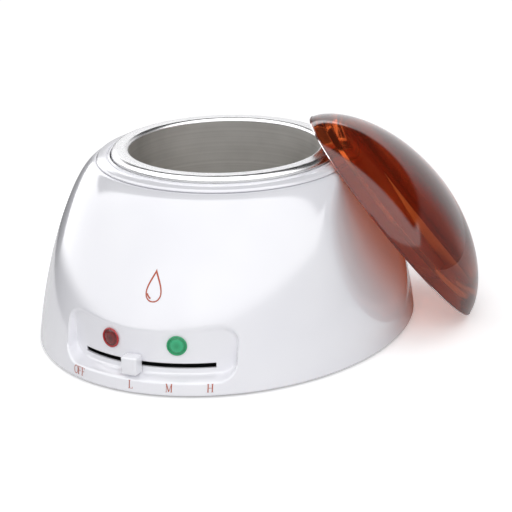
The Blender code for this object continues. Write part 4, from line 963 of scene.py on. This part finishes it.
seen = add_node(tree, "ShaderNodeBackground", values={"Color": (1, 1, 1, 1), "Strength": 1.05})
lit = add_node(tree, "ShaderNodeBackground", values={"Color": (0.985, 0.985, 1.0, 1)},
               wires={"Strength": shown.outputs["Result"]})
mixed = add_node(tree, "ShaderNodeMixShader", wires={0: ray.outputs["Is Camera Ray"],
                                                     1: lit.outputs["Background"],
                                                     2: seen.outputs["Background"]})
out = tree.nodes.new("ShaderNodeOutputWorld")
tree.links.new(mixed.outputs["Shader"], out.inputs["Surface"])
bpy.context.scene.world = room

lamp = bpy.data.lights.new("soft_front_lamp", "AREA")
lamp.shape = "RECTANGLE"
lamp.size, lamp.size_y, lamp.energy = 1.2, 0.9, LAMP_W
item = bpy.data.objects.new("soft_front_lamp", lamp)
bpy.context.scene.collection.objects.link(item)
item.location = AXIS + Vector((0.6, -1.3, 0.95))
item.rotation_euler = (AXIS + Vector((0, 0, 0.05)) - item.location).to_track_quat("-Z", "Y").to_euler()
item.visible_glossy = False
print("room and lamp ready")

# %% [markdown]
# The camera stands to the right of the front and looks a little down, through a long lens, as
# for a catalogue picture. Its three axes are worked out from its turn, tilt and roll.

# %% Camera
turn, tilt, roll = math.radians(23.48), math.radians(16.15), math.radians(-1.672)
SENSOR, FOCAL = 36, 156.3609
aim_x, aim_y = math.radians(0.72138), math.radians(2.90378)
right = Vector((math.cos(turn), math.sin(turn), 0))
back = Vector((math.sin(turn) * math.cos(tilt), -math.cos(turn) * math.cos(tilt), math.sin(tilt)))
up = back.cross(right)
right, back = (math.cos(aim_x) * right + math.sin(aim_x) * back,
               -math.sin(aim_x) * right + math.cos(aim_x) * back)
up, back = math.cos(aim_y) * up - math.sin(aim_y) * back, math.sin(aim_y) * up + math.cos(aim_y) * back
right, up = math.cos(roll) * right + math.sin(roll) * up, -math.sin(roll) * right + math.cos(roll) * up
camera = bpy.data.objects.new("camera", bpy.data.cameras.new("camera"))
bpy.context.scene.collection.objects.link(camera)
camera.data.lens, camera.data.sensor_width = FOCAL, SENSOR
camera.data.clip_start = 0.05
stand = AXIS + Vector((0.4321, -0.9944, 0.3139 + RIM_Z * MM))
camera.matrix_world = Matrix.Translation(stand) @ Matrix((right, up, back)).transposed().to_4x4()
bpy.context.scene.camera = camera
bpy.context.scene.view_settings.view_transform = "Standard"
print("camera at", [round(v, 3) for v in stand], "lens", round(FOCAL, 1))
